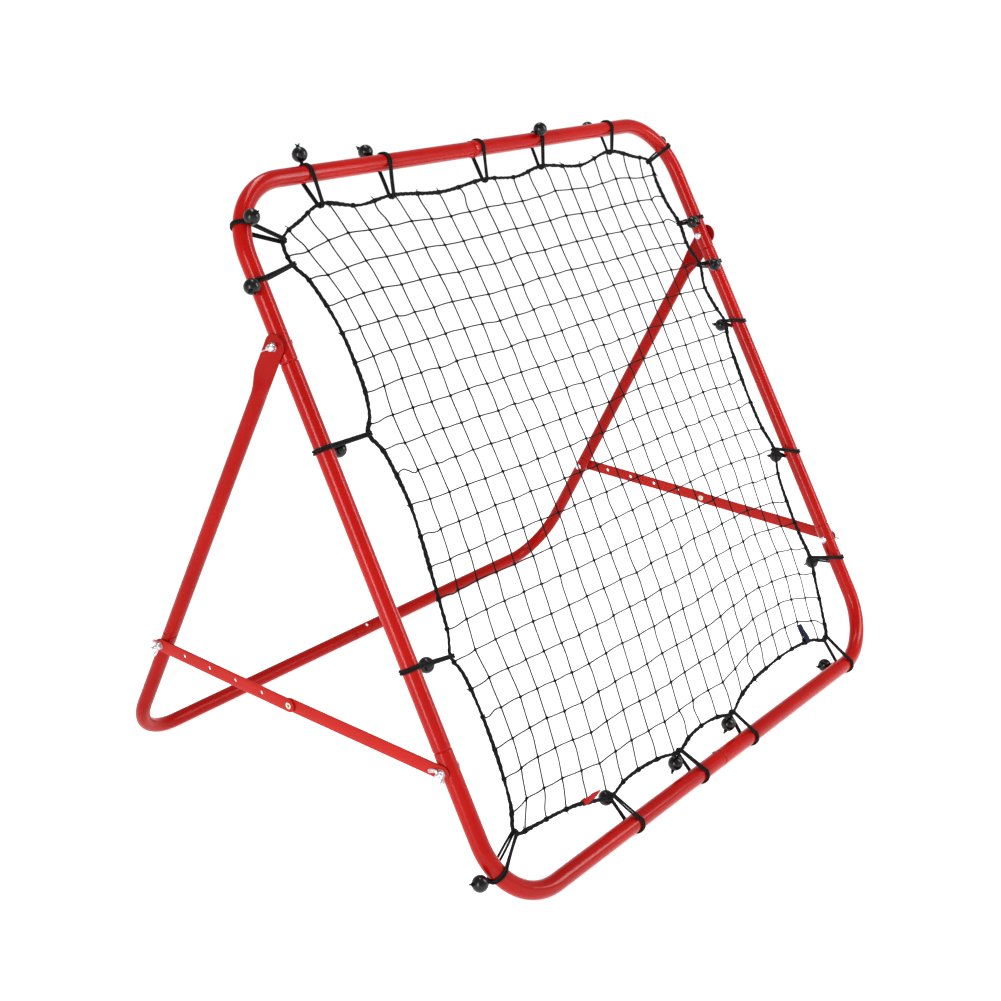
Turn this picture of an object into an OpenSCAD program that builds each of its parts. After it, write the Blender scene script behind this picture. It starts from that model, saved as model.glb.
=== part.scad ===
// Pitch back rebounder: a leaning square tube frame with a cord net held by
// bungee loops, propped by a folding U-shaped rear leg and two hinged struts.
// Units are millimetres, +Z is up, the net faces -Y and leans back towards +Y.

/* [Front frame] */
// overall width across the side tubes
frame_w = 1040; // [1000:1:1100]
// overall height measured up the leaning face
frame_h = 1025; // [1000:1:1060]
// outer diameter of the frame tubes
tube_d = 25; // [24.5:0.5:26]
// wall thickness of all the tubes
tube_wall = 1.5; // [1.2:0.1:1.8]
// bend radius of the frame corners at the tube centreline
corner_r = 100; // [90:1:110]
// backward lean of the face from upright, in degrees
lean = 28.6; // [26:0.1:31]

/* [Rear leg] */
// outer diameter of the rear leg tubes
leg_d = 22; // [20:0.5:22]
// pivot height measured up the face from the bottom tube
pivot_s = 780; // [770:1:800]
// length from the pivot to the rear ground tube
leg_len = 782; // [770:1:800]
// bend radius of the rear leg corners at the tube centreline
rear_corner_r = 88; // [80:1:95]
// distance the leg tubes stand outboard of the frame side tubes
leg_out = 9; // [8.5:0.5:9.5]
// width of the flattened tongue at the top of each leg
tongue_w = 34; // [28:1:35]

/* [Struts] */
// strut bolt height measured up the face from the bottom tube
frame_bolt_s = 200; // [190:1:215]
// strut bolt distance from the pivot down the rear leg
leg_bolt_t = 558; // [548:1:570]
// width of the flat strut bars
bar_w = 20; // [18:1:21]
// thickness of the flat strut bars
bar_t = 2.5; // [2:0.1:2.5]
// spacing of the adjusting holes in the rear strut bars
hole_pitch = 54.2; // [52:0.1:55]

/* [Hardware] */
// bolt and stud diameter
bolt_d = 6; // [5:0.5:6]
// distance between the wing tips of a wing nut
nut_span = 28; // [24:1:30]

/* [Net] */
// spacing of the net cords
mesh_pitch = 42; // [42:1:44]
// thickness of the net cords
mesh_cord = 1.4; // [1:0.1:2]
// diameter of the rope around the net
rope_d = 4.5; // [4:0.1:5]
// diameter of the bungee balls
ball_d = 22; // [20:0.5:22]
// thickness of the elastic bungee cord
elastic_d = 3; // [2.5:0.1:3]

/* [Display] */
// which piece to draw

/* [Hidden] */
$fn = 64;
// half width and height between the frame tube centrelines
hw = (frame_w - tube_d) / 2;
fh = frame_h - tube_d;
// running clearances: shaft in hole, and stacked faces
run_gap = 0.08;
face_gap = 0.1;
// half of the visible seam between two joined tubes
seam = 0.2;
// length and wall of the reduced tube end that enters its neighbour
plug_len = 45;
plug_wall = 1.4;
// step left solid behind a reduced end
shoulder = 4;
// distance from a bolt to the tube seam beside it
seam_off = 25;
leg_seam_off = 22;
// the bottom tube stands on the bungee loops that pass under it
loop_r = tube_d / 2 + face_gap + elastic_d;
bar_z = loop_r;
// pivot, rear leg angle and overall depth
piv_dy = pivot_s * sin(lean);
piv_z = bar_z + pivot_s * cos(lean);
leg_angle = acos((piv_z - leg_d / 2) / leg_len);
depth = piv_dy + leg_len * sin(leg_angle);
bar_y = -(depth + leg_d / 2 - loop_r) / 2;
leg_x = hw + leg_out;
// strut geometry in the side plane
fold_angle = lean + leg_angle;
arm_frame = pivot_s - frame_bolt_s;
strut_sq = arm_frame * arm_frame + leg_bolt_t * leg_bolt_t
    - 2 * arm_frame * leg_bolt_t * cos(fold_angle);
strut_len = sqrt(strut_sq);
rear_bar_len = 5 * hole_pitch;
front_bar_len = strut_len - rear_bar_len;
fb_y = bar_y + frame_bolt_s * sin(lean);
fb_z = bar_z + frame_bolt_s * cos(lean);
lb_y = bar_y + piv_dy + leg_bolt_t * sin(leg_angle);
lb_z = piv_z - leg_bolt_t * cos(leg_angle);
strut_pitch = atan2(fb_z - lb_z, lb_y - fb_y);
// stacked positions outward from the frame side, measured along X
side_x = hw + tube_d / 2;
leg_side_x = leg_x + leg_d / 2;
tongue_t = 3;
tongue_x = side_x + face_gap;
bolt_r = bolt_d / 2;
washer_r = bolt_r * 2.1;
washer_t = 1.2;
front_mid_x = side_x + bar_t / 2 + 0.25;
rear_in_x = leg_side_x + face_gap;
rivet_mid_x = rear_in_x - bar_t / 2 - 0.35;
bar_slant = atan((rivet_mid_x - front_mid_x) / front_bar_len);
piv_stack_x = tongue_x + tongue_t + face_gap;
frame_stack_x = front_mid_x + bar_t / 2 + 0.2;
leg_stack_x = rear_in_x + bar_t + face_gap;
head_r = 6;
head_h = 3.5;
hub_h = 6;
// rope route, as x across and s up the face
left_run = [[-440, 915], [-440, 880], [-425, 860], [-412, 825], [-402, 780],
    [-400, 735], [-402, 690], [-412, 655], [-425, 635], [-412, 610],
    [-405, 570], [-402, 525], [-406, 480], [-412, 435], [-418, 390],
    [-425, 350], [-435, 325], [-426, 300], [-422, 260], [-422, 210],
    [-426, 160], [-434, 115], [-445, 85]];
bottom_run = [[-405, 78], [-360, 74], [-315, 67], [-280, 57], [-250, 50],
    [-215, 57], [-170, 58], [-120, 53], [-80, 45], [-45, 54], [-5, 57],
    [35, 53], [70, 45], [105, 58], [150, 68], [200, 72], [250, 74],
    [300, 72], [345, 66], [385, 55]];
right_run = [[405, 95], [420, 140], [435, 185], [432, 230], [434, 285],
    [442, 340], [460, 380], [450, 425], [448, 480], [452, 540], [458, 590],
    [470, 620], [460, 650], [452, 690], [465, 730], [452, 770], [455, 810],
    [442, 850], [438, 890], [440, 930]];
top_run = [[400, 944], [340, 960], [245, 945], [145, 955], [75, 945],
    [0, 950], [-105, 942], [-210, 950], [-280, 944], [-350, 955],
    [-395, 938]];
rope_run = concat(left_run, bottom_run, right_run, top_run);
net_centre = [20, 505];
// the net stops just inside the rope
net_inset = 0.9925;
strands = 20;
// bungees: where each wraps the tube, where it holds the rope, the direction
// of the tube there, then the centre of its ball as x, depth behind the face, s
top_bungees = [
    [[-355, 1000], [-350, 955], 0, [-352, 0, 1029]],
    [[-200, 1000], [-210, 950], 0, [-206, 20, 1026]],
    [[10, 1000], [0, 950], 0, [13, 28, 1009]],
    [[160, 1000], [145, 955], 0, [149, -23, 1009]],
    [[355, 1000], [340, 960], 0, [337, 22, 1014]],
    [[496, 947], [440, 930], -62, [513, 10, 964.5]]];
right_bungees = [
    [[507.5, 810], [455, 810], 90, [467, -18, 803]],
    [[507.5, 725], [465, 730], 90, [479, -19, 720]],
    [[507.5, 610], [470, 620], 90, [489, 22.5, 618]],
    [[507.5, 360], [460, 380], 90, [491, 22.5, 366.5]],
    [[507.5, 160], [435, 185], 90, [468, 22, 173]]];
bottom_bungees = [
    [[410, 0], [385, 55], 0, [388, 25, 10]],
    [[90, 0], [70, 45], 0, [62, 9, 32]],
    [[-55, 0], [-80, 45], 0, [-87, 10, 31]],
    [[-225, 0], [-250, 50], 0, [-243, 18, 47]],
    [[-497, 55], [-445, 85], -64, [-527, 4, 56]]];
left_bungees = [
    [[-507.5, 335], [-435, 325], 90, [-461, 21, 327]],
    [[-507.5, 635], [-425, 635], 90, [-464, 22, 630]],
    [[-507.5, 867], [-440, 880], 90, [-530, -12, 860]],
    [[-497.5, 943.5], [-440, 915], 64, [-500, -27, 946]]];
all_bungees = concat(top_bungees, right_bungees, bottom_bungees, left_bungees);
// rope eye of a bungee loop, and how far its knot tails pass the ball
eye_r = rope_d / 2 + 1.35;
eye_mid = eye_r + elastic_d / 2;
mid_r = tube_d / 2 + face_gap + elastic_d / 2;
loop_w = 2 * elastic_d;
// the straight runs are a little slimmer than the rings they lap into
run_t = elastic_d - 0.2;
run_w = loop_w - 0.4;
run_lap = 1;
tail = 4;
// cloth tags: thickness and gap in front of the rope
tag_t = 1;
tag_gap = 0.3;
// a ball this close to the tube or rope hangs from that ring
near_tube = 36;
near_rope = 22;
// net is cut back around each rope eye and around a ball lying in its plane
eye_clear = 10;
ball_clear = ball_d / 2 + 4;
// where the top band, bottom screw and rear snap button sit
band_w = 17;
screw_x = -7;
rear_seam_x = -28;
snap_x = 3;
snap_r = 3;

// carries a piece drawn on the upright face into the leaning frame
module on_frame() {
    translate([0, bar_y, bar_z])
        rotate([-lean, 0, 0])
            children();
}

// carries a piece drawn hanging below the pivot into the rear leg
module on_leg() {
    translate([0, bar_y + piv_dy, piv_z])
        rotate([leg_angle, 0, 0])
            children();
}

// carries a piece drawn along -Y from the leg bolt into the strut line
module on_strut() {
    translate([0, lb_y, lb_z])
        rotate([-strut_pitch, 0, 0])
            children();
}

// solid rod along X
module x_rod(r, x0, x1) {
    translate([x0, 0, 0])
        rotate([0, 90, 0])
            cylinder(h = x1 - x0, r = r);
}

// the right-hand piece as drawn, or its mirror image on the left
module on_side(side) {
    mirror([side < 0 ? 1 : 0, 0, 0])
        children();
}

// quarter bend with one arm down and one arm towards -X, in the XZ plane
module elbow_solid(r, rad, down, across) {
    rotate([90, 0, 0])
        rotate_extrude(angle = 90)
            translate([r, 0])
                circle(rad);
    translate([r, 0, -down])
        cylinder(h = down, r = rad);
    translate([0, 0, r])
        x_rod(rad, -across, 0);
}

// bent tube, hollow, with an optional reduced end on either arm
module elbow(r, d, down, across, plug_down, plug_across) {
    bore = d / 2 - tube_wall;
    plug = bore - face_gap;
    difference() {
        union() {
            elbow_solid(r, d / 2, down, across);
            if (plug_down > 0)
                translate([r, 0, -down - plug_down])
                    cylinder(h = plug_down + shoulder, r = plug);
            if (plug_across > 0)
                translate([0, 0, r])
                    x_rod(plug, -across - plug_across, -across + shoulder);
        }
        elbow_solid(r, bore, down + (plug_down > 0 ? -shoulder : 1),
            across + (plug_across > 0 ? -shoulder : 1));
        translate([r, 0, -down - plug_down - 1])
            cylinder(h = down + plug_down + 1, r = plug - plug_wall);
        translate([0, 0, r])
            x_rod(plug - plug_wall, -across - plug_across - 1, 0);
    }
}

// upper corner, with the pivot hole; the left one plugs into the right one
module frame_top(side) {
    down = fh - corner_r - (pivot_s - seam_off) - seam;
    color([0.8, 0.1, 0.08])
        on_frame()
            on_side(side)
                difference() {
                    translate([hw - corner_r, 0, fh - corner_r])
                        elbow(corner_r, tube_d, down, hw - corner_r - seam,
                            plug_len, side < 0 ? plug_len : 0);
                    translate([0, 0, pivot_s])
                        x_rod(bolt_r + run_gap, hw - tube_d, hw + tube_d);
                }
}

// lower corner, with the strut bolt hole; the right one plugs into the left
module frame_bottom(side) {
    up = frame_bolt_s + seam_off - seam - corner_r;
    color([0.8, 0.1, 0.08])
        on_frame()
            on_side(side)
                difference() {
                    translate([hw - corner_r, 0, corner_r])
                        mirror([0, 0, 1])
                            elbow(corner_r, tube_d, up, hw - corner_r - seam,
                                plug_len, side > 0 ? plug_len : 0);
                    translate([0, 0, frame_bolt_s])
                        x_rod(bolt_r + run_gap, hw - tube_d, hw + tube_d);
                    translate([screw_x * side, 0, 0])
                        cylinder(h = tube_d, r = 1.5 + run_gap);
                }
}

// straight side tube between the two corners
module frame_side(side) {
    low = frame_bolt_s + seam_off + seam;
    high = pivot_s - seam_off - seam;
    color([0.8, 0.1, 0.08])
        on_frame()
            on_side(side)
                translate([hw, 0, low])
                    difference() {
                        cylinder(h = high - low, r = tube_d / 2);
                        translate([0, 0, -1])
                            cylinder(h = high - low + 2,
                                r = tube_d / 2 - tube_wall);
                    }
}

// thin band over the seam at the middle of the top tube
module top_band() {
    color([0.8, 0.1, 0.08])
        on_frame()
            translate([0, 0, fh])
                difference() {
                    x_rod(tube_d / 2 + 0.9, -band_w / 2, band_w / 2);
                    x_rod(tube_d / 2 + 0.05, -band_w, band_w);
                }
}

// small screw that pins the bottom seam, its head on the upper side
module bottom_screw() {
    color([0.45, 0.45, 0.47])
        on_frame()
            translate([screw_x, 0, 0]) {
                translate([0, 0, tube_d / 2 - 4.6])
                    cylinder(h = 5.5, r = 1.5);
                translate([0, 0, tube_d / 2 + face_gap])
                    cylinder(h = 1.6, r = 3);
            }
}

// upper leg tube: flattened tongue on the frame, then round tube
module leg_tube(side) {
    flat_end = 46;
    round_at = 84;
    low = leg_bolt_t - leg_seam_off - seam;
    color([0.72, 0.16, 0.15])
        on_leg()
            on_side(side)
                difference() {
                    union() {
                        x_rod(tongue_w / 2, tongue_x, tongue_x + tongue_t);
                        translate([tongue_x, -tongue_w / 2, -flat_end])
                            cube([tongue_t, tongue_w, flat_end]);
                        hull() {
                            translate([tongue_x, -tongue_w / 2, -flat_end])
                                cube([tongue_t, tongue_w, 0.5]);
                            translate([leg_x, 0, -round_at])
                                cylinder(h = 0.5, r = leg_d / 2, $fn = 32);
                        }
                        translate([leg_x, 0, -low])
                            cylinder(h = low - round_at, r = leg_d / 2);
                    }
                    x_rod(bolt_r + run_gap, hw, hw + tube_d);
                    translate([leg_x, 0, -low - 1])
                        cylinder(h = low - round_at - 4,
                            r = leg_d / 2 - tube_wall);
                }
}

// rear corner: down the leg, round the bend and along the ground
module rear_corner(side) {
    top = leg_bolt_t - leg_seam_off + seam;
    up = leg_len - rear_corner_r - top;
    across = leg_x - rear_corner_r - rear_seam_x * side - seam;
    color([0.72, 0.16, 0.15])
        on_leg()
            on_side(side)
                difference() {
                    translate([leg_x - rear_corner_r, 0,
                        -leg_len + rear_corner_r])
                        mirror([0, 0, 1])
                            elbow(rear_corner_r, leg_d, up, across,
                                plug_len, side < 0 ? plug_len : 0);
                    translate([0, 0, -leg_bolt_t])
                        x_rod(bolt_r + run_gap, leg_x - leg_d,
                            leg_x + leg_d);
                    translate([snap_x * side, 0, -leg_len])
                        cylinder(h = leg_d, r = snap_r + run_gap);
                }
}

// sprung button that locks the rear seam
module rear_snap_button() {
    color([0.75, 0.75, 0.77])
        on_leg()
            translate([snap_x, 0, -leg_len]) {
                translate([0, 0, 3])
                    cylinder(h = leg_d / 2 - 1.5, r = snap_r);
                translate([0, 0, 3])
                    cylinder(h = 1.2, r = 4.5);
            }
}

// flat bar outline along -Y, one rounded end on each bolt
module bar_plate(length) {
    translate([0, -length, -bar_w / 2])
        cube([bar_t, length, bar_w]);
    x_rod(bar_w / 2, 0, bar_t);
    translate([0, -length, 0])
        x_rod(bar_w / 2, 0, bar_t);
}

// front strut bar, slanting slightly from the frame to the rivet
module front_link(side) {
    color([0.74, 0.18, 0.17])
        on_side(side)
            on_strut()
                translate([rivet_mid_x, -rear_bar_len, 0])
                    rotate([0, 0, -bar_slant])
                        translate([-bar_t / 2, 0, 0])
                            difference() {
                                bar_plate(front_bar_len
                                    / cos(bar_slant));
                                x_rod(bolt_r + run_gap, -1, bar_t + 1);
                                translate([0, -front_bar_len
                                    / cos(bar_slant), 0])
                                    x_rod(bolt_r + run_gap, -1, bar_t + 1);
                            }
}

// rear strut bar with its row of adjusting holes
module rear_link(side) {
    color([0.74, 0.18, 0.17])
        on_side(side)
            on_strut()
                translate([rear_in_x, 0, 0])
                    difference() {
                        bar_plate(rear_bar_len);
                        for (i = [0 : 5])
                            translate([0, -i * hole_pitch, 0])
                                x_rod(bolt_r + run_gap
                                    + (i > 0 && i < 5 ? 0.2 : 0),
                                    -1, bar_t + 1);
                    }
}

// hollow rivet that hinges the two strut bars
module link_rivet(side) {
    out_x = rear_in_x + bar_t + face_gap;
    in_x = rivet_mid_x - bar_t / 2 - 0.3;
    color([0.75, 0.7, 0.6])
        on_side(side)
            on_strut()
                translate([0, -rear_bar_len, 0])
                    difference() {
                        union() {
                            x_rod(bolt_r, in_x - 1.2, out_x + 1);
                            x_rod(5, in_x - 1.2, in_x);
                            x_rod(5, out_x, out_x + 1);
                        }
                        x_rod(1.7, in_x - 3, out_x + 3);
                    }
}

// pan head bolt along X: cross recess in the inner head
module head_bolt(face_x, tip_x) {
    difference() {
        union() {
            x_rod(head_r, face_x - face_gap - head_h, face_x - face_gap);
            x_rod(bolt_r, face_x - face_gap - 1, tip_x);
        }
        for (a = [0, 90])
            rotate([a, 0, 0])
                translate([face_x - head_h - 1, -3.2, -0.6])
                    cube([2.2, 6.4, 1.2]);
    }
}

// bolt through the frame and the tongue of the leg
module pivot_bolt(side) {
    color([0.7, 0.7, 0.72])
        on_frame()
            on_side(side)
                translate([0, 0, pivot_s])
                    head_bolt(hw - tube_d / 2, piv_stack_x + 11);
}

// bolt through the frame and the front strut bar
module frame_bolt(side) {
    color([0.7, 0.7, 0.72])
        on_frame()
            on_side(side)
                translate([0, 0, frame_bolt_s])
                    head_bolt(hw - tube_d / 2, frame_stack_x + 11);
}

// bolt through the leg, ending at the outer side of the tube
module leg_bolt(side) {
    color([0.7, 0.7, 0.72])
        on_leg()
            on_side(side)
                translate([0, 0, -leg_bolt_t])
                    head_bolt(leg_x - leg_d / 2, leg_side_x - face_gap);
}

// threaded end that carries the rear strut bar on its wing nut
module strut_stud(side) {
    color([0.7, 0.7, 0.72])
        on_side(side)
            on_strut()
                x_rod(bolt_r, rear_in_x, leg_stack_x + 16);
}

// flat washer along X
module washer(x0) {
    difference() {
        x_rod(washer_r, x0, x0 + washer_t);
        x_rod(bolt_r + run_gap, x0 - 1, x0 + washer_t + 1);
    }
}

// washers under the pivot and frame wing nuts
module frame_washers() {
    color([0.72, 0.72, 0.74])
        on_frame()
            for (side = [-1, 1])
                on_side(side) {
                    translate([0, 0, pivot_s])
                        washer(piv_stack_x);
                    translate([0, 0, frame_bolt_s])
                        washer(frame_stack_x);
                }
}

// washer under the wing nut at the leg end of a strut
module strut_washer(side) {
    color([0.72, 0.72, 0.74])
        on_side(side)
            on_strut()
                washer(leg_stack_x);
}

// wing nut along X: round hub and two rounded wings
module wing_nut(x0, turn) {
    tip_r = 4.5;
    reach = nut_span / 2 - tip_r;
    rotate([turn, 0, 0])
        difference() {
            union() {
                x_rod(5.5, x0, x0 + hub_h);
                for (s = [-1, 1])
                    translate([x0, 0, 0])
                        rotate([90, 0, 0])
                            translate([0, 0, -1])
                                linear_extrude(2) {
                                    translate([8.5, s * reach])
                                        circle(tip_r);
                                    polygon([[0.8, 0], [0.8, s * 5.2],
                                        [4.6, s * 11.8], [12, s * 6.6],
                                        [5.5, s * 3.5], [5.5, 0]]);
                                }
            }
            x_rod(bolt_r + run_gap, x0 - 1, x0 + 15);
        }
}

module pivot_wing_nut(side) {
    color([0.72, 0.72, 0.74])
        on_frame()
            on_side(side)
                translate([0, 0, pivot_s])
                    wing_nut(piv_stack_x + washer_t + face_gap, 94);
}

module frame_wing_nut(side) {
    color([0.72, 0.72, 0.74])
        on_frame()
            on_side(side)
                translate([0, 0, frame_bolt_s])
                    wing_nut(frame_stack_x + washer_t + face_gap, 154);
}

module leg_wing_nut(side) {
    color([0.72, 0.72, 0.74])
        on_side(side)
            on_strut()
                wing_nut(leg_stack_x + washer_t + face_gap, 20);
}

// square net of thin cords, open between them, ending just inside the rope
module net_panel() {
    reach = strands / 2 * mesh_pitch + mesh_pitch * 2;
    color([0.12, 0.12, 0.12])
        on_frame()
            rotate([90, 0, 0])
                translate([0, 0, -mesh_cord / 2])
                    linear_extrude(mesh_cord)
                        difference() {
                            intersection() {
                                translate(net_centre)
                                    scale([net_inset, net_inset])
                                        translate(-net_centre)
                                            polygon(rope_run);
                                union() {
                                    for (i = [0 : strands - 1]) {
                                        step = (i - strands / 2 + 0.5)
                                            * mesh_pitch;
                                        translate([net_centre[0] + step,
                                            net_centre[1]])
                                            square([mesh_cord, 2 * reach],
                                                center = true);
                                        translate([net_centre[0],
                                            net_centre[1] + step])
                                            square([2 * reach, mesh_cord],
                                                center = true);
                                    }
                                }
                            }
                            for (b = all_bungees) {
                                translate(b[1])
                                    circle(eye_clear);
                                translate([b[3][0], b[3][2]])
                                    circle(ball_clear);
                            }
                        }
}

// rope swept around its closed route, eight sides
module border_rope() {
    sides = 8;
    n = len(rope_run);
    rings = [for (i = [0 : n - 1])
        let (a = rope_run[(i + n - 1) % n],
            b = rope_run[(i + 1) % n],
            t = (b - a) / norm(b - a),
            p = rope_run[i])
        for (k = [0 : sides - 1])
            let (q = k * 360 / sides, r = rope_d / 2)
            [p[0] - t[1] * r * cos(q), r * sin(q), p[1] + t[0] * r * cos(q)]];
    faces = [for (i = [0 : n - 1])
        for (k = [0 : sides - 1])
            let (j = (i + 1) % n, m = (k + 1) % sides)
            [i * sides + k, i * sides + m, j * sides + m, j * sides + k]];
    color([0.1, 0.1, 0.1])
        on_frame()
            polyhedron(points = rings, faces = faces, convexity = 10);
}

// ribbon tag lying along the net in front of the bottom rope
module tag(x, s, aim, length, width) {
    color([0.5, 0.1, 0.2])
        on_frame()
            translate([x, -rope_d / 2 - tag_gap, s])
                rotate([0, -aim, 0])
                    translate([0, -tag_t, -width / 2])
                        cube([length, tag_t, width]);
}

// cord from one 3D point to another
module strand(a, b, r) {
    d = b - a;
    translate(a)
        rotate([0, acos(d[2] / norm(d)), atan2(d[1], d[0])])
            cylinder(h = norm(d), r = r);
}

// closed elastic loop: round the tube, across to the rope and round the rope
module bungee_loop(b) {
    w = wrap_point(b);
    d = eye_point(b) - w;
    slope = asin((mid_r - eye_mid) / norm(d));
    aim = atan2(d[2], d[0]);
    // ring around the tube
    translate(w)
        rotate([0, -b[2], 0])
            difference() {
                x_rod(mid_r + elastic_d / 2, -loop_w / 2, loop_w / 2);
                x_rod(mid_r - elastic_d / 2, -loop_w, loop_w);
            }
    // ring around the rope, and the flat runs that join the two rings
    translate(w)
        rotate([0, -aim, 0]) {
            translate([norm(d), 0, -loop_w / 2])
                difference() {
                    cylinder(h = loop_w, r = eye_mid + elastic_d / 2);
                    translate([0, 0, -1])
                        cylinder(h = loop_w + 2, r = eye_r);
                }
            for (s = [-1, 1])
                translate([mid_r * sin(slope), s * mid_r * cos(slope), 0])
                    rotate([0, 0, -s * slope])
                        translate([-run_lap, -run_t / 2, -run_w / 2])
                            cube([norm(d) * cos(slope) + 2 * run_lap,
                                run_t, run_w]);
        }
    bungee_neck(b);
}

// short cord from the nearer ring or run, through the ball, to its knot tails
module bungee_neck(b) {
    base = neck_base(b);
    out = (b[3] - base) / norm(b[3] - base);
    strand(base, b[3] + out * (ball_d / 2 + tail), elastic_d / 2);
}

// where the neck of a ball leaves its loop
function neck_base(b) =
    let (w = wrap_point(b), e = eye_point(b), d = (e - w) / norm(e - w))
    norm(b[3] - w) < near_tube
        ? ring_point(w, b[3], [cos(b[2]), 0, sin(b[2])], mid_r)
        : norm(b[3] - e) < near_rope
            ? ring_point(e, b[3], [-d[2], 0, d[0]], eye_mid)
            : run_point(w, e, b[3]);

// point of a ring around axis t that faces a ball
function ring_point(c, ball, t, r) =
    let (v = ball - c, across = v - t * (v * t))
    c + across / norm(across) * r;

function wrap_point(b) = abs(b[0][0]) >= floor(hw)
    ? [sign(b[0][0]) * hw, 0, b[0][1]] : [b[0][0], 0, b[0][1]];
function eye_point(b) = [b[1][0], 0, b[1][1]];

// point on the front or back run beside a ball
function run_point(w, e, ball) =
    let (d = e - w, f = ((ball - w) * d) / (d * d),
        s = ball[1] > 0 ? 1 : -1)
    w + d * f + [0, s * (mid_r + (eye_mid - mid_r) * f), 0];

module bungee_loops(list) {
    color([0.08, 0.08, 0.08])
        on_frame()
            for (b = list)
                bungee_loop(b);
}

// balls bored through for the neck of their loop
module bungee_balls(list) {
    color([0.03, 0.03, 0.03])
        on_frame()
            for (b = list) {
                out = (b[3] - neck_base(b)) / norm(b[3] - neck_base(b));
                translate(b[3])
                    rotate([0, acos(out[2]), atan2(out[1], out[0])])
                        difference() {
                            sphere(d = ball_d);
                            translate([0, 0, -ball_d])
                                cylinder(h = 2 * ball_d,
                                    r = elastic_d / 2 + run_gap);
                        }
            }
}

frame_top(-1);  // frame_top_left
frame_top(1);  // frame_top_right
frame_bottom(-1);  // frame_bottom_left
frame_bottom(1);  // frame_bottom_right
frame_side(-1);  // frame_side_left
frame_side(1);  // frame_side_right
top_band();
bottom_screw();
leg_tube(-1);  // leg_tube_left
leg_tube(1);  // leg_tube_right
rear_corner(-1);  // rear_corner_left
rear_corner(1);  // rear_corner_right
rear_snap_button();
front_link(-1);  // front_link_left
front_link(1);  // front_link_right
rear_link(-1);  // rear_link_left
rear_link(1);  // rear_link_right
link_rivet(-1);  // link_rivet_left
link_rivet(1);  // link_rivet_right
pivot_bolt(-1);  // pivot_bolt_left
pivot_bolt(1);  // pivot_bolt_right
frame_bolt(-1);  // frame_bolt_left
frame_bolt(1);  // frame_bolt_right
leg_bolt(-1);  // leg_bolt_left
leg_bolt(1);  // leg_bolt_right
strut_stud(-1);  // strut_stud_left
strut_stud(1);  // strut_stud_right
frame_washers();
strut_washer(-1);  // strut_washer_left
strut_washer(1);  // strut_washer_right
pivot_wing_nut(-1);  // pivot_wing_nut_left
pivot_wing_nut(1);  // pivot_wing_nut_right
frame_wing_nut(-1);  // frame_wing_nut_left
frame_wing_nut(1);  // frame_wing_nut_right
leg_wing_nut(-1);  // leg_wing_nut_left
leg_wing_nut(1);  // leg_wing_nut_right
net_panel();
border_rope();
tag(-305, 66, 4, 34, 8);  // tag_red
tag(330, 72, 107, 32, 13);  // tag_navy
bungee_loops(top_bungees);  // bungee_loops_top
bungee_loops(right_bungees);  // bungee_loops_right
bungee_loops(bottom_bungees);  // bungee_loops_bottom
bungee_loops(left_bungees);  // bungee_loops_left
bungee_balls(top_bungees);  // bungee_balls_top
bungee_balls(right_bungees);  // bungee_balls_right
bungee_balls(bottom_bungees);  // bungee_balls_bottom
bungee_balls(left_bungees);  // bungee_balls_left
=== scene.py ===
import math
import bmesh
import bpy
import numpy as np
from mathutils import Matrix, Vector


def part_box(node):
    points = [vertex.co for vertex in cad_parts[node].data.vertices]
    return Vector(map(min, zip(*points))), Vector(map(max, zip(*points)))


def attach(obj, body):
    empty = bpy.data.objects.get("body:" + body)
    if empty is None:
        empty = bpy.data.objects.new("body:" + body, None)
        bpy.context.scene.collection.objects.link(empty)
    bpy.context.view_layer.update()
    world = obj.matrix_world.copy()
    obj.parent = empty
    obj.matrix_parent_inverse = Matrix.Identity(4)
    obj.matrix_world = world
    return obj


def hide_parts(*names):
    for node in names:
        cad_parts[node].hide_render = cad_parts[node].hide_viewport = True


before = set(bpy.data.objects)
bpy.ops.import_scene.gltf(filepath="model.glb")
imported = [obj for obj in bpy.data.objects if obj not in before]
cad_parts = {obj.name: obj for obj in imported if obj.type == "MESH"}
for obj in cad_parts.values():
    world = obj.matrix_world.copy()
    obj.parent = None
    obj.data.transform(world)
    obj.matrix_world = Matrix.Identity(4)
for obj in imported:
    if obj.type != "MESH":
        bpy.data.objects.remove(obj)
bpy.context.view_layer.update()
rng = np.random.default_rng(7)

# ---------------------------------------------------------------- places from the CAD frame
def centre(node):
    lo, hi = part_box(node)
    return np.array((lo + hi) / 2)


def x_span(node):
    """Inner and outer distance of a node from the middle plane."""
    lo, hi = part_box(node)
    return sorted((abs(lo.x), abs(hi.x)))


def at_x(x, p):
    """The point p moved sideways to x."""
    return np.array([x, p[1], p[2]])


MM = 0.001
lo_b, hi_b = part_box("frame_bottom_right")
FR = 12.5 * MM                                   # frame tube radius
LR = 11.0 * MM                                   # leg tube radius
bar = np.array([0.0, lo_b.y + FR, lo_b.z + FR])  # bottom tube centreline
piv = np.array([0.0, *centre("pivot_bolt_left")[1:]])
UP = (piv - bar) / np.linalg.norm(piv - bar)     # up the leaning face
NR = np.array([0.0, -UP[2], UP[1]])              # out of the face, towards the front
XX = np.array([1.0, 0.0, 0.0])
HW = hi_b.x - FR
PIV_S = float(np.linalg.norm(piv - bar))
lo_r, hi_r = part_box("rear_corner_left")
rearbar = np.array([0.0, hi_r.y - LR, lo_r.z + LR])
LEG_LEN = float(np.linalg.norm(rearbar - piv))
LD = (rearbar - piv) / LEG_LEN                   # down the leg
LN = np.array([0.0, LD[2], -LD[1]])              # across the leg, in the side plane
LX = -lo_r.x - LR
FB = centre("frame_bolt_left")
LB = centre("leg_bolt_left")
RV = centre("link_rivet_left")
FH = 1.0                                         # bottom to top tube, centre to centre
CR = 0.100                                       # bend radius of the frame corners
RCR = 0.088                                      # bend radius of the rear corners
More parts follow.
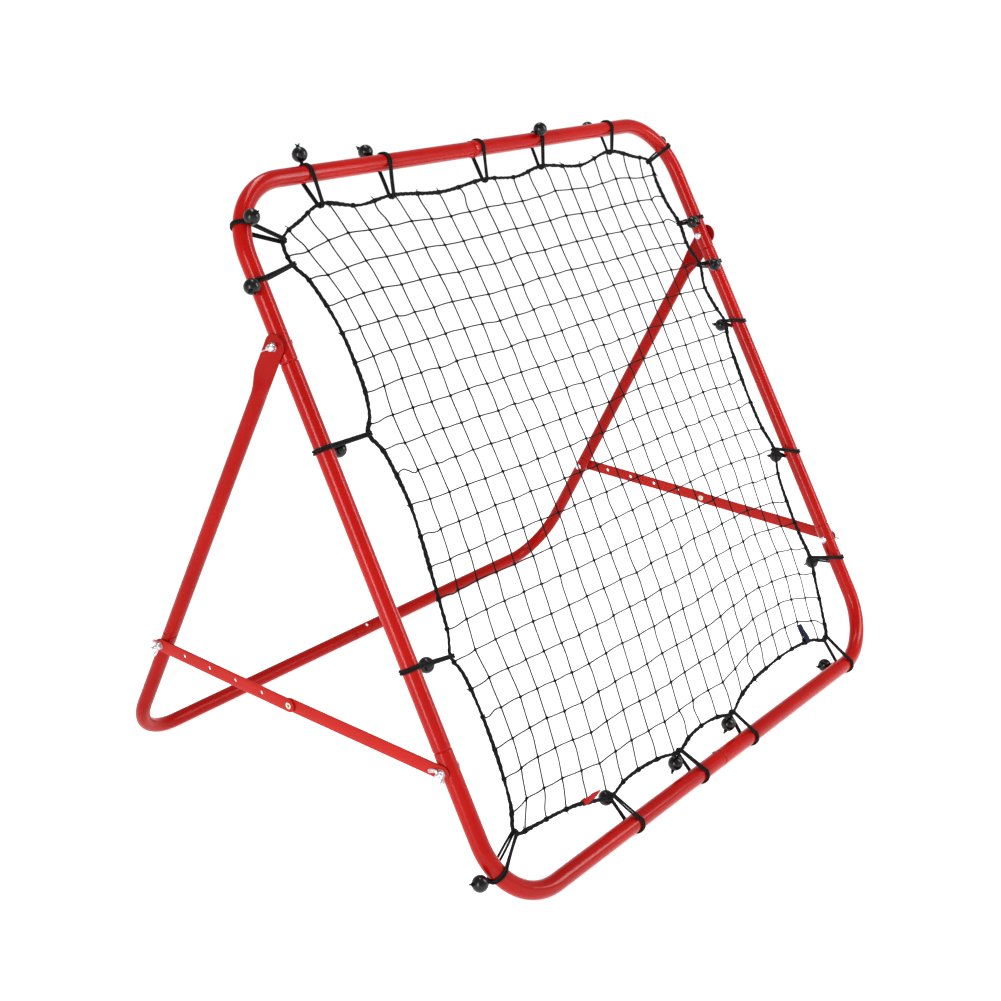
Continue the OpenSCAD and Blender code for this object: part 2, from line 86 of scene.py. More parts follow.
SEAM_HI = PIV_S - 0.025                          # seams up the side tube
SEAM_LO = 0.225
SEAM_GAP = 0.3 * MM                              # half the slit at a seam
LEG_SEAM = 0.536                                 # seam down the leg
REAR_SEAM_X = -0.028                             # seam of the rear bar
BUTTON_X = 0.003
SIDES = (("left", -1.0), ("right", 1.0))


def P(x, s, n=0.0):
    """Point on the leaning face: x across, s up the face, n out of it, in millimetres."""
    return bar + XX * x * MM + UP * s * MM + NR * n * MM


# ---------------------------------------------------------------- materials
def node_mat(name):
    m = bpy.data.materials.new(name)
    m.use_nodes = True
    nt = m.node_tree
    bsdf = next(n for n in nt.nodes if n.type == "BSDF_PRINCIPLED")
    return m, nt, bsdf


def add(nt, kind, **inputs):
    n = nt.nodes.new(kind)
    for k, v in inputs.items():
        if k in n.inputs:
            n.inputs[k].default_value = v
        else:
            setattr(n, k, v)
    return n


def noise(nt, coord, scale, detail=3.0, rough=0.5):
    n = add(nt, "ShaderNodeTexNoise", Scale=scale, Detail=detail, Roughness=rough)
    nt.links.new(coord, n.inputs["Vector"])
    return n.outputs["Fac"]


def ramp(nt, fac, stops):
    n = nt.nodes.new("ShaderNodeValToRGB")
    e = n.color_ramp.elements
    while len(e) < len(stops):
        e.new(0.5)
    for el, (pos, col) in zip(e, stops):
        el.position = pos
        el.color = (*col, 1.0)
    nt.links.new(fac, n.inputs["Fac"])
    return n.outputs["Color"]


def bump(nt, bsdf, height, strength, distance, chain=None):
    b = add(nt, "ShaderNodeBump", Strength=strength, Distance=distance)
    nt.links.new(height, b.inputs["Height"])
    if chain is not None:
        nt.links.new(chain, b.inputs["Normal"])
    nt.links.new(b.outputs["Normal"], bsdf.inputs["Normal"])
    return b.outputs["Normal"]


def obj_coord(nt):
    return nt.nodes.new("ShaderNodeTexCoord").outputs["Object"]


def uv_coord(nt, su, sv):
    """Tube coordinates, u along in metres and v round from 0 to 1, scaled."""
    uv = nt.nodes.new("ShaderNodeUVMap")
    mp = nt.nodes.new("ShaderNodeMapping")
    mp.inputs["Scale"].default_value = (su, sv, 1.0)
    nt.links.new(uv.outputs["UV"], mp.inputs["Vector"])
    return mp.outputs["Vector"]


def paint(name, c0, c1, rough0, rough1, shine, peel):
    """Powder coat: colour that drifts from c0 to c1, uneven gloss and fine orange peel."""
    m, nt, b = node_mat(name)
    co = obj_coord(nt)
    big = noise(nt, co, 9.0, 4.0)
    col = ramp(nt, big, [(0.3, c0), (0.72, c1)])
    nt.links.new(col, b.inputs["Base Color"])
    fine = noise(nt, co, 60.0, 5.0, 0.6)
    rr = add(nt, "ShaderNodeMapRange")
    rr.inputs["From Min"].default_value = 0.3
    rr.inputs["From Max"].default_value = 0.75
    rr.inputs["To Min"].default_value = rough0
    rr.inputs["To Max"].default_value = rough1
    nt.links.new(fine, rr.inputs["Value"])
    nt.links.new(rr.outputs["Result"], b.inputs["Roughness"])
    b.inputs["Specular IOR Level"].default_value = shine
    peel_n = noise(nt, co, 420.0, 2.0)
    nn = bump(nt, b, peel_n, peel, 0.0004)
    dent = noise(nt, co, 34.0, 2.0)
    bump(nt, b, dent, 0.02, 0.0008, nn)
    return m


def metal(name, col0, col1, rough):
    m, nt, b = node_mat(name)
    co = obj_coord(nt)
    f = noise(nt, co, 220.0, 5.0, 0.65)
    nt.links.new(ramp(nt, f, [(0.25, col0), (0.8, col1)]), b.inputs["Base Color"])
    b.inputs["Metallic"].default_value = 1.0
    rr = add(nt, "ShaderNodeMapRange")
    rr.inputs["To Min"].default_value = rough - 0.08
    rr.inputs["To Max"].default_value = rough + 0.12
    nt.links.new(f, rr.inputs["Value"])
    nt.links.new(rr.outputs["Result"], b.inputs["Roughness"])
    bump(nt, b, noise(nt, co, 900.0, 3.0), 0.12, 0.0003)
    return m


def cordage(name, c0, c1, along, around, depth, rough=0.85):
    """Twisted or braided cord: slanting ridges from the tube coordinates and a fibre fuzz."""
    m, nt, b = node_mat(name)
    uv = uv_coord(nt, along, around)
    w1 = add(nt, "ShaderNodeTexWave", Scale=1.0, Distortion=0.4)
    w1.wave_type = "BANDS"
    w1.bands_direction = "DIAGONAL"
    nt.links.new(uv, w1.inputs["Vector"])
    co = obj_coord(nt)
    fz = noise(nt, co, 1600.0, 3.0, 0.7)
    mix = add(nt, "ShaderNodeMix")
    mix.inputs[0].default_value = 0.45
    nt.links.new(w1.outputs["Fac"], mix.inputs[2])
    nt.links.new(fz, mix.inputs[3])
    nt.links.new(ramp(nt, mix.outputs[0], [(0.2, c0), (0.85, c1)]), b.inputs["Base Color"])
    b.inputs["Roughness"].default_value = rough
    b.inputs["Specular IOR Level"].default_value = 0.12
    bump(nt, b, mix.outputs[0], 0.7, depth)
    return m


M_FRAME = paint("paint_frame", (0.30, 0.0018, 0.0008), (0.37, 0.0030, 0.0012),
                0.15, 0.22, 0.17, 0.008)
M_LEG = paint("paint_leg", (0.25, 0.0022, 0.0010), (0.31, 0.0035, 0.0016),
              0.2, 0.3, 0.08, 0.012)
M_STRUT = paint("paint_strut", (0.34, 0.006, 0.003), (0.41, 0.009, 0.005),
                0.28, 0.4, 0.11, 0.03)
M_ZINC = metal("zinc_plate", (0.50, 0.50, 0.52), (0.74, 0.74, 0.76), 0.28)
M_BRASS = metal("rivet_plate", (0.55, 0.50, 0.40), (0.72, 0.68, 0.58), 0.32)
M_DARK = metal("screw_plate", (0.10, 0.10, 0.11), (0.22, 0.22, 0.23), 0.4)
M_TWINE = cordage("net_twine", (0.0015, 0.0015, 0.0018), (0.008, 0.008, 0.009),
                  700.0, 2.0, 0.0003)
M_ROPE = cordage("net_rope", (0.0015, 0.0015, 0.0018), (0.010, 0.010, 0.011),
                 260.0, 3.0, 0.0008)
M_ELASTIC = cordage("elastic_sheath", (0.0015, 0.0015, 0.0016), (0.008, 0.008, 0.009),
                    520.0, 6.0, 0.0004, 0.7)


def ball_mat():
    m, nt, b = node_mat("ball_plastic")
    co = obj_coord(nt)
    f = noise(nt, co, 260.0, 4.0)
    black = ramp(nt, f, [(0.3, (0.0015, 0.0015, 0.0015)), (0.8, (0.005, 0.005, 0.0055))])
    nt.links.new(black, b.inputs["Base Color"])
    rr = add(nt, "ShaderNodeMapRange")
    rr.inputs["To Min"].default_value = 0.12
    rr.inputs["To Max"].default_value = 0.26
    nt.links.new(f, rr.inputs["Value"])
    nt.links.new(rr.outputs["Result"], b.inputs["Roughness"])
    b.inputs["Specular IOR Level"].default_value = 0.3
    bump(nt, b, noise(nt, co, 700.0, 2.0), 0.06, 0.0003)
    return m


def ribbon_mat(name, c0, c1):
    m, nt, b = node_mat(name)
    co = obj_coord(nt)
    w = add(nt, "ShaderNodeTexWave", Scale=420.0, Distortion=0.5)
    nt.links.new(co, w.inputs["Vector"])
    f = noise(nt, co, 300.0, 3.0)
    mix = add(nt, "ShaderNodeMix")
    nt.links.new(w.outputs["Fac"], mix.inputs[2])
    nt.links.new(f, mix.inputs[3])
    nt.links.new(ramp(nt, mix.outputs[0], [(0.2, c0), (0.8, c1)]), b.inputs["Base Color"])
    b.inputs["Roughness"].default_value = 0.6
    b.inputs["Specular IOR Level"].default_value = 0.1
    bump(nt, b, mix.outputs[0], 0.4, 0.0003)
    return m


M_BALL = ball_mat()
M_RED_TAG = ribbon_mat("ribbon_red", (0.28, 0.006, 0.006), (0.42, 0.012, 0.010))
M_NAVY_TAG = ribbon_mat("ribbon_navy", (0.002, 0.0035, 0.014), (0.005, 0.008, 0.030))


# ---------------------------------------------------------------- mesh helpers
def unit(v):
    return v / max(np.linalg.norm(v), 1e-12)


class Build:
    """Collects vertices, faces and tube coordinates of one piece."""

    def __init__(self):
        self.v, self.f, self.uv, self.n = [], [], [], 0

    def add(self, verts, faces, uvs=None):
        verts = np.asarray(verts, float)
        self.v.append(verts)
        for k, f in enumerate(faces):
            self.f.append([i + self.n for i in f])
            self.uv.append(uvs[k] if uvs is not None else [(0.0, 0.0)] * len(f))
        self.n += len(verts)

    def make(self, node, mat, body, slot, smooth_angle=40):
        """Makes the piece that stands for a CAD node; it is named v_ and the node's name."""
        name = "v_" + node
        me = bpy.data.meshes.new(name)
        me.from_pydata([tuple(p) for p in np.concatenate(self.v)], [], self.f)
        layer = me.uv_layers.new(name="along_round")
        flat = np.array([c for f in self.uv for c in f], np.float32).ravel()
        layer.data.foreach_set("uv", flat)
        me.materials.append(mat)
        me.validate()
        me.set_sharp_from_angle(angle=math.radians(smooth_angle))
        me.polygons.foreach_set("use_smooth", [True] * len(me.polygons))
        ob = bpy.data.objects.new(name, me)
        bpy.context.scene.collection.objects.link(ob)
        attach(ob, body)
        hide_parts(node)
        return ob


def quads(rings, seg):
    """Faces that join rings of seg points, one ring to the next."""
    return [(i * seg + k, i * seg + (k + 1) % seg, (i + 1) * seg + (k + 1) % seg, (i + 1) * seg + k)
            for i in range(rings - 1) for k in range(seg)]


def frames_along(pts, closed, up=None):
    """Parallel-carried frames: tangent, side and up at each point."""
    pts = np.asarray(pts, float)
    n = len(pts)
    if closed:
        t = np.roll(pts, -1, 0) - np.roll(pts, 1, 0)
    else:
        t = np.gradient(pts, axis=0)
    t /= np.maximum(np.linalg.norm(t, axis=1), 1e-12)[:, None]
    ref = np.array([0.3, 0.2, 0.93]) if up is None else up
    s = np.cross(ref, t[0])
    if np.linalg.norm(s) < 1e-6:
        s = np.cross(np.array([1.0, 0.1, 0.0]), t[0])
    s = unit(s)
    S = [s]
    for i in range(1, n):
        s = unit(s - t[i] * (s @ t[i]))
        S.append(s)
    S = np.array(S)
    if closed:
        s0 = unit(S[-1] - t[0] * (S[-1] @ t[0]))
        ang = math.atan2(np.cross(s0, S[0]) @ t[0], s0 @ S[0])
        for i in range(n):
            a = ang * i / n
            u = np.cross(t[i], S[i])
            S[i] = S[i] * math.cos(a) + u * math.sin(a)
    U = np.cross(t, S)
    return t, S, U


def sweep(b, pts, radius, sides=12, closed=False, lobes=0, pitch=0.014, depth=0.0, up=None):
    """Tube along pts, capped unless closed. radius is one number or one per point.
    lobes and pitch twist it like laid rope."""
    pts = np.asarray(pts, float)
    n = len(pts)
    r = np.full(n, radius) if np.isscalar(radius) else np.asarray(radius, float)
    t, S, U = frames_along(pts, closed, up)
    seg = np.linalg.norm(np.diff(pts, axis=0), axis=1)
    arc = np.concatenate([[0], np.cumsum(seg)])
    th = np.linspace(0, 2 * math.pi, sides, endpoint=False)
    rad = r[:, None] * np.ones(sides)[None, :]
    if lobes:
        turn = 2 * math.pi * arc[:, None] / (pitch * lobes)
        rad = rad * (1 + depth * np.cos(lobes * (th[None, :] - turn)))
    ca, sa = np.cos(th), np.sin(th)
    v = (pts[:, None, :] + S[:, None, :] * (rad * ca)[..., None]
         + U[:, None, :] * (rad * sa)[..., None]).reshape(-1, 3)
    faces, uvs = [], []
    m = n if closed else n - 1
    total = arc[-1] + (np.linalg.norm(pts[0] - pts[-1]) if closed else 0)
    for i in range(m):
        j = (i + 1) % n
        a1 = arc[i]
        a2 = arc[j] if j else total
        for k in range(sides):
            k2 = (k + 1) % sides
            faces.append((i * sides + k, i * sides + k2, j * sides + k2, j * sides + k))
            v1, v2 = k / sides, (k + 1) / sides
            uvs.append([(a1, v1), (a1, v2), (a2, v2), (a2, v1)])
    if not closed:
        faces.append(tuple(reversed(range(sides))))
        uvs.append([(0, 0)] * sides)
        faces.append(tuple((n - 1) * sides + k for k in range(sides)))
        uvs.append([(arc[-1], 0)] * sides)
    b.add(v, faces, uvs)


def lathe(b, origin, axis, prof, seg):
    """Revolves (along, radius) pairs about axis through origin."""
    axis = unit(np.asarray(axis, float))
    ref = np.array([0.0, 0.0, 1.0]) if abs(axis[2]) < 0.9 else np.array([1.0, 0, 0])
    s = unit(np.cross(ref, axis))
    u = np.cross(axis, s)
    th = np.linspace(0, 2 * math.pi, seg, endpoint=False)
    V = [origin + axis * a + (s * math.cos(q) + u * math.sin(q)) * max(r, 1e-6)
         for a, r in prof for q in th]
    b.add(V, quads(len(prof), seg))


def blob(b, c, r, seg, rings, stretch, axes):
    """Small stretched ball of cord at c."""
    A = np.asarray(axes)
    V, F = [c + A[2] * r * stretch[2]], []
    for i in range(1, rings):
        ph = math.pi * i / rings
        for k in range(seg):
            q = 2 * math.pi * k / seg
            V.append(c + A[0] * (r * stretch[0] * math.sin(ph) * math.cos(q))
                     + A[1] * (r * stretch[1] * math.sin(ph) * math.sin(q))
                     + A[2] * (r * stretch[2] * math.cos(ph)))
    V.append(c - A[2] * r * stretch[2])
    for k in range(seg):
        F.append((0, 1 + k, 1 + (k + 1) % seg))
    for i in range(rings - 2):
        for k in range(seg):
            k2 = (k + 1) % seg
            F.append((1 + i * seg + k, 1 + (i + 1) * seg + k, 1 + (i + 1) * seg + k2, 1 + i * seg + k2))
    last = len(V) - 1
    for k in range(seg):
        F.append((last, last - seg + (k + 1) % seg, last - seg + k))
    b.add(V, F, [[(0.001 * (i % 7), 0.1 * (i % 5))] * len(f) for i, f in enumerate(F)])


def smooth_line(pts, closed=False, rounds=2):
    """Rounds a line's corners by cutting them."""
    p = np.asarray(pts, float)
    for _ in range(rounds):
        q = np.roll(p, -1, 0) if closed else p[1:]
        a = p if closed else p[:-1]
        new = np.empty((2 * len(a), 3))
        new[0::2] = a * 0.75 + q * 0.25
        new[1::2] = a * 0.25 + q * 0.75
        p = new if closed else np.vstack([p[:1], new, p[-1:]])
    return p


def resample(pts, step, closed=False):
    """The same line with a point about every step."""
    p = np.asarray(pts, float)
    if closed:
        p = np.vstack([p, p[:1]])
    d = np.concatenate([[0], np.cumsum(np.linalg.norm(np.diff(p, axis=0), axis=1))])
    n = max(4, int(round(d[-1] / step)))
    s = np.linspace(0, d[-1], n + 1)
    out = np.stack([np.interp(s, d, p[:, k]) for k in range(3)], 1)
    return out[:-1] if closed else out


# ---------------------------------------------------------------- frame tubes
def face_pt(x, s):
    return bar + XX * x + UP * s


def corner(cx, cs, a0, a1):
    """Frame corner about cx, cs on the face, from angle a0 to a1."""
    return [face_pt(cx + CR * math.cos(a), cs + CR * math.sin(a)) for a in np.linspace(a0, a1, 24)[1:]]


def leg_pt(x, d):
    return piv + XX * x + LD * d


LIP = 1.8 * MM           # length of a tube end's rolled lip
LIP_IN = 1.1 * MM        # how far the lip turns in
SLEEVE_IN = 1.4 * MM     # how far the inner sleeve lies below the tube's surface


def tube_piece(node, pts, r, mat, body, slot):
    """Powder-coated tube with a rolled lip at each end."""
    b = Build()
    pts = resample(pts, 0.006)
    d = np.concatenate([[0], np.cumsum(np.linalg.norm(np.diff(pts, axis=0), axis=1))])
    s_all = set(np.round(d, 6))
    for e in (0.0005, 0.0011, 0.0018, 0.003):
        s_all |= {e, d[-1] - e}
    s_all = np.array(sorted(s_all))
    pts = np.stack([np.interp(s_all, d, pts[:, k]) for k in range(3)], 1)
    rad = np.full(len(pts), r)
    for i, s in enumerate(s_all):
        for end in (s, d[-1] - s):
            if end < LIP:
                rad[i] = r - LIP_IN * (1 - end / LIP) ** 2
    sweep(b, pts, rad, sides=40, up=NR if slot == "frame_paint" else LN)
    # the joint's inner sleeve, seen as the bottom of the seam
    for end, inner in ((pts[0], pts[1]), (pts[-1], pts[-2])):
        ax = unit(end - inner)
        sweep(b, [end - ax * 3 * MM, end - ax * MM, end + ax * SEAM_GAP], r - SLEEVE_IN, sides=40)
    b.make(node, mat, body, slot)


for side, sx in SIDES:
    xs = sx * HW
    outer = math.pi if sx < 0 else 0.0
    top = [face_pt(xs, SEAM_HI + SEAM_GAP), face_pt(xs, FH - CR)]
    top += corner(xs - sx * CR, FH - CR, outer, math.pi / 2) + [face_pt(sx * SEAM_GAP, FH)]
    bottom = [face_pt(xs, SEAM_LO - SEAM_GAP), face_pt(xs, CR)]
    bottom += corner(xs - sx * CR, CR, outer, 1.5 * math.pi if sx < 0 else -math.pi / 2)
    bottom += [face_pt(sx * SEAM_GAP, 0.0)]
    middle = [face_pt(xs, SEAM_LO + SEAM_GAP), face_pt(xs, SEAM_HI - SEAM_GAP)]
    for part, pts in (("top_", top), ("bottom_", bottom), ("side_", middle)):
        tube_piece("frame_" + part + side, pts, FR, M_FRAME, "front_frame", "frame_paint")

b = Build()
band = [(-8.5, 12.55), (-8.5, 13.0), (-8.0, 13.4), (8.0, 13.4), (8.5, 13.0), (8.5, 12.55)]
lathe(b, P(0, 1000), XX, [(a * MM, r * MM) for a, r in band], 48)
b.make("top_band", M_FRAME, "front_frame", "frame_paint")

# ---------------------------------------------------------------- rear leg
TONGUE_W = 17 * MM       # half width of the flattened end
TONGUE_T = 1.5 * MM      # half thickness
FLAT_END = 46 * MM       # where the flat starts to open, down the leg
ROUND_AT = 84 * MM       # where the tube is round
LEG_GAP = 0.2 * MM
RING_N = 40


def leg_rows(x_flat, x_tube):
    """Cross-sections down the leg: place, half width, half thickness, x and roundness."""
    plan = [(-0.0169, 0.0020)]
    plan += [(-TONGUE_W * math.cos(a), TONGUE_W * math.sin(a)) for a in np.linspace(0.2, math.pi / 2, 9)]
    plan += [(d, TONGUE_W) for d in (0.004, 0.012, 0.022, 0.034, FLAT_END)]
    rows = [(d, half, TONGUE_T, x_flat, 0.0) for d, half in plan]
    for q in np.arange(1, 13) / 12:
        e = q * q * (3 - 2 * q)
        rows.append((FLAT_END + (ROUND_AT - FLAT_END) * q, TONGUE_W + (LR - TONGUE_W) * e,
                     TONGUE_T + (LR - TONGUE_T) * e, x_flat + (x_tube - x_flat) * e, e))
    rows += [(d, LR, LR, x_tube, 1.0) for d in (0.10, 0.16, 0.22, 0.28, 0.34, 0.40, 0.46, 0.50)]
    for end in (0.003, LIP, 0.0011, 0.0005, LEG_GAP):
        rr = LR - 0.001 * max(0.0, 1 - end / LIP) ** 2
        rows.append((LEG_SEAM - end, rr, rr, x_tube, 1.0))
    return rows


for side, sx in SIDES:
    b = Build()
    x_tube = sx * LX
    rows = leg_rows(sx * (HW + FR + 0.0016), x_tube)
    V, UVs = [], []
    for d, half_w, half_t, xc, e in rows:
        pw = 0.32 + 0.68 * e                     # squarish flat section blends to a circle
        for q in 2 * math.pi * np.arange(RING_N) / RING_N:
            cq, sq = math.cos(q), math.sin(q)
            w = math.copysign(abs(cq) ** (1.0 if e > 0.99 else pw * 0.5 + 0.5), cq) * half_w
            h = math.copysign(abs(sq) ** pw, sq) * half_t
            V.append(piv + LD * d + LN * w + XX * (xc + h))
    for r0, r1 in zip(rows, rows[1:]):
        for k in range(RING_N):
            v0, v1 = k / RING_N, (k + 1) / RING_N
            UVs.append([(r0[0], v0), (r0[0], v1), (r1[0], v1), (r1[0], v0)])
    F = quads(len(rows), RING_N)
    F += [tuple(reversed(range(RING_N))), tuple((len(rows) - 1) * RING_N + k for k in range(RING_N))]
    UVs += [[(0, 0)] * RING_N] * 2
    b.add(V, F, UVs)
    b.make("leg_tube_" + side, M_LEG, "rear_leg", "leg_paint")
    pts = [leg_pt(x_tube, LEG_SEAM + LEG_GAP), leg_pt(x_tube, LEG_LEN - RCR)]
    for a in np.linspace(0, math.pi / 2, 22)[1:]:
        pts.append(leg_pt(x_tube - sx * RCR * (1 - math.cos(a)), LEG_LEN - RCR + RCR * math.sin(a)))
    pts.append(leg_pt(REAR_SEAM_X + sx * SEAM_GAP, LEG_LEN))
    tube_piece("rear_corner_" + side, pts, LR, M_LEG, "rear_leg", "leg_paint")


# ---------------------------------------------------------------- strut bars
BAR_W = 10 * MM          # half width of the strap
BAR_T = 1.25 * MM        # half thickness
BAR_IN = 1.42 * MM       # from a strap's box to its middle
HOLE_N = 20              # corners of a hole


def bar_mesh(name, p0, p1, out, holes, hole_r):
    """Flat strap with rounded ends, rolled edges and round holes, out is its outer normal."""
    u = unit(p1 - p0)
    length = np.linalg.norm(p1 - p0)
    w = np.cross(out, u)
    rim = [(x + BAR_W * math.cos(a), BAR_W * math.sin(a)) for x, start in ((0.0, 0.5), (length, -0.5))
           for a in np.linspace(math.pi * start, math.pi * (start + 1), 17)]
    bm = bmesh.new()

    def ring(z, inset):
        vs = []
        for x, y in rim:
            cx = min(max(x, 0.0), length)
            dx, dy = x - cx, y
            k = 1 - inset / BAR_W
            vs.append(bm.verts.new(tuple(p0 + u * (cx + dx * k) + w * dy * k + out * z)))
        return vs

    levels = [(-BAR_T, 0.0006), (-BAR_T + 0.00018, 0.00018), (-BAR_T + 0.0006, 0),
              (BAR_T - 0.0006, 0), (BAR_T - 0.00018, 0.00018), (BAR_T, 0.0006)]
    rings = [ring(z, i) for z, i in levels]
    for ra, rb in zip(rings, rings[1:]):
        for k in range(len(ra)):
            k2 = (k + 1) % len(ra)
            bm.faces.new((ra[k], ra[k2], rb[k2], rb[k]))
    hole_rings = {}
    for ringv, z in ((rings[0], -BAR_T), (rings[-1], BAR_T)):
        edges = [bm.edges.get((ringv[k], ringv[(k + 1) % len(ringv)])) for k in range(len(ringv))]
        for h in holes:
            hv = []
            for k in range(HOLE_N):
                q = 2 * math.pi * k / HOLE_N
                at = p0 + u * (h + hole_r * math.cos(q)) + w * hole_r * math.sin(q) + out * z
                hv.append(bm.verts.new(tuple(at)))
            edges += [bm.edges.new((hv[k], hv[(k + 1) % HOLE_N])) for k in range(HOLE_N)]
            hole_rings.setdefault(h, []).append(hv)
        bmesh.ops.triangle_fill(bm, edges=edges, use_beauty=True, normal=tuple(out * math.copysign(1, z)))
    for h, (ra, rb) in hole_rings.items():
        for k in range(HOLE_N):
            k2 = (k + 1) % HOLE_N
            bm.faces.new((ra[k2], ra[k], rb[k], rb[k2]))
    bmesh.ops.recalc_face_normals(bm, faces=bm.faces)
    me = bpy.data.meshes.new("v_" + name)
    bm.to_mesh(me)
    bm.free()
    me.materials.append(M_STRUT)
    me.set_sharp_from_angle(angle=math.radians(35))
    me.polygons.foreach_set("use_smooth", [True] * len(me.polygons))
    ob = bpy.data.objects.new("v_" + name, me)
    bpy.context.scene.collection.objects.link(ob)
    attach(ob, name)
    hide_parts(name)


for side, sx in SIDES:
    out = XX * sx
    mid_x = sx * sum(x_span("rear_link_" + side)) / 2
    bolt_end, rivet_end = at_x(mid_x, LB), at_x(mid_x, RV)
    pitch = np.linalg.norm(rivet_end - bolt_end) / 5
    bar_mesh("rear_link_" + side, bolt_end, rivet_end, out, [pitch * i for i in range(6)], 0.0032)
    near, far = x_span("front_link_" + side)
    bolt_end, rivet_end = at_x(sx * (near + BAR_IN), FB), at_x(sx * (far - BAR_IN), RV)
    along = unit(rivet_end - bolt_end)
    holes = [0.0, np.linalg.norm(rivet_end - bolt_end)]
    bar_mesh("front_link_" + side, bolt_end, rivet_end, unit(out - along * (out @ along)), holes, 0.0031)

# ---------------------------------------------------------------- hardware
BOLT_R = 3 * MM
HEAD_R = 6 * MM
HEAD_H = 3.3 * MM
THREAD = 1 * MM          # thread pitch
CHAMFER = 0.8 * MM
# turns of the wing nuts about their bolts, in degrees
PIVOT_TURN, FRAME_TURN, LEG_TURN = 155.4, 35.4, 95.0


def thread_rod(b, origin, axis, length, plain=0.0):
    """Rod with rolled thread grooves along its last part."""
    r = BOLT_R
    prof = [(0.0, r)]
    if plain:
        prof.append((plain, r))
    n = int((length - plain - CHAMFER) / THREAD)
    for i in range(n):
        a = plain + i * THREAD
        prof += [(a + THREAD * 0.2, r), (a + THREAD * 0.5, r - 0.00042), (a + THREAD * 0.8, r)]
    prof += [(length - CHAMFER, r), (length, r - CHAMFER * 0.8), (length + 1e-5, 0.0)]
    lathe(b, origin, axis, prof, 24)


def pan_head(b, origin, axis, r, h):
    """Pan head; origin is on the bearing face, axis points out of it."""
    axis = unit(axis)
    prof = [(0.0, r * 0.97), (0.0003, r), (h * 0.35, r)]
    for a in np.linspace(0.15, math.pi / 2 - 0.5, 7):
        prof.append((h * (0.35 + 0.65 * math.sin(a) / math.sin(math.pi / 2 - 0.5)), r * math.cos(a) ** 0.7))
    prof += [(h, r * 0.60), (h, 0.0)]
    lathe(b, origin, axis, prof, 32)


def cross_recess(b, top, axis, r):
    """Tapered cross sunk in a head: four-armed star with sloping sides."""
    s = unit(np.cross(np.array([0.0, 0.31, 0.95]), axis))
    u = np.cross(axis, s)
    w, L = 0.0008, r * 0.62
    outline = [(L, w), (w, w), (w, L), (-w, L), (-w, w), (-L, w), (-L, -w), (-w, -w), (-w, -L), (w, -L),
               (w, -w), (L, -w)]
    V = [top + axis * 0.00004 + s * x + u * y for x, y in outline]
    V += [top - axis * 0.0011 + (s * x + u * y) * 0.45 for x, y in outline]
    F = [(k, (k + 1) % 12, 12 + (k + 1) % 12, 12 + k) for k in range(12)]
    F.append(tuple(range(12, 24)))
    b.add(V, F)


def wing_nut(node, body, origin, out, degrees):
    """Pressed wing nut: round hub with a shoulder and two curved ear-shaped wings."""
    b = Build()
    prof = [(0.0, 3.1), (0.0, 5.2), (0.5, 5.7), (2.2, 5.7), (5.0, 5.0), (5.8, 4.6),
            (6.0, 4.1), (6.0, 3.1), (5.2, 2.8), (0.0, 2.8)]
    lathe(b, origin, out, [(a * MM, r * MM) for a, r in prof], 32)
    turn = math.radians(degrees)
    ref = np.array([0.0, math.cos(turn), math.sin(turn)])
    across = np.cross(out, ref)
    # wing outline: distance along the wing and height, both in mm, walked round the ear
    ear = [(3.6, 0.9), (5.6, 0.9), (8.0, 2.0), (10.6, 3.9), (12.8, 6.2), (14.0, 8.8), (13.9, 11.0),
           (12.6, 12.6), (10.7, 13.0), (9.2, 12.1), (8.3, 10.2), (7.2, 7.8), (5.8, 6.1), (4.0, 5.3)]
    middle = np.mean(ear, axis=0)
    # sideways place and scale of each layer through the wing's thickness
    layers = [(-1.05, 0.72), (-0.95, 0.88), (-0.55, 1.0), (0.55, 1.0), (0.95, 0.88), (1.05, 0.72)]
    m = len(ear)
    for k in (1, -1):
        V = []
        for z, sc in layers:
            for x, y in ear:
                q = middle + (np.array([x, y]) - middle) * sc
                sideways = z * (1.0 - 0.25 * (y / 13)) + 0.9 * (y / 13.0) ** 2 * k
                V.append(origin + (ref * (k * q[0]) + out * q[1] + across * sideways) * MM)
        F = quads(len(layers), m)
        F += [tuple(reversed(range(m))), tuple((len(layers) - 1) * m + j for j in range(m))]
        b.add(V, F if k > 0 else [tuple(reversed(f)) for f in F])
    b.make(node, M_ZINC, body, "zinc", 50)


def washer(b, origin, out):
    prof = [(0.0, 3.2), (0.0, 6.1), (0.3, 6.3), (0.9, 6.3), (1.2, 6.1), (1.2, 3.2), (0.0, 3.2)]
    lathe(b, origin, out, [(a * MM, r * MM) for a, r in prof], 36)


def bolt_piece(node, body, head_x, tip_x, at, out):
    """Head bolt along X between two stations, both signed."""
    b = Build()
    o = at_x(head_x, at)
    pan_head(b, o, -out, HEAD_R, HEAD_H)
    cross_recess(b, o - out * HEAD_H, -out, HEAD_R)
    thread_rod(b, o - out * CHAMFER, out, abs(tip_x - head_x) + CHAMFER, plain=0.012)
    b.make(node, M_ZINC, body, "zinc", 35)


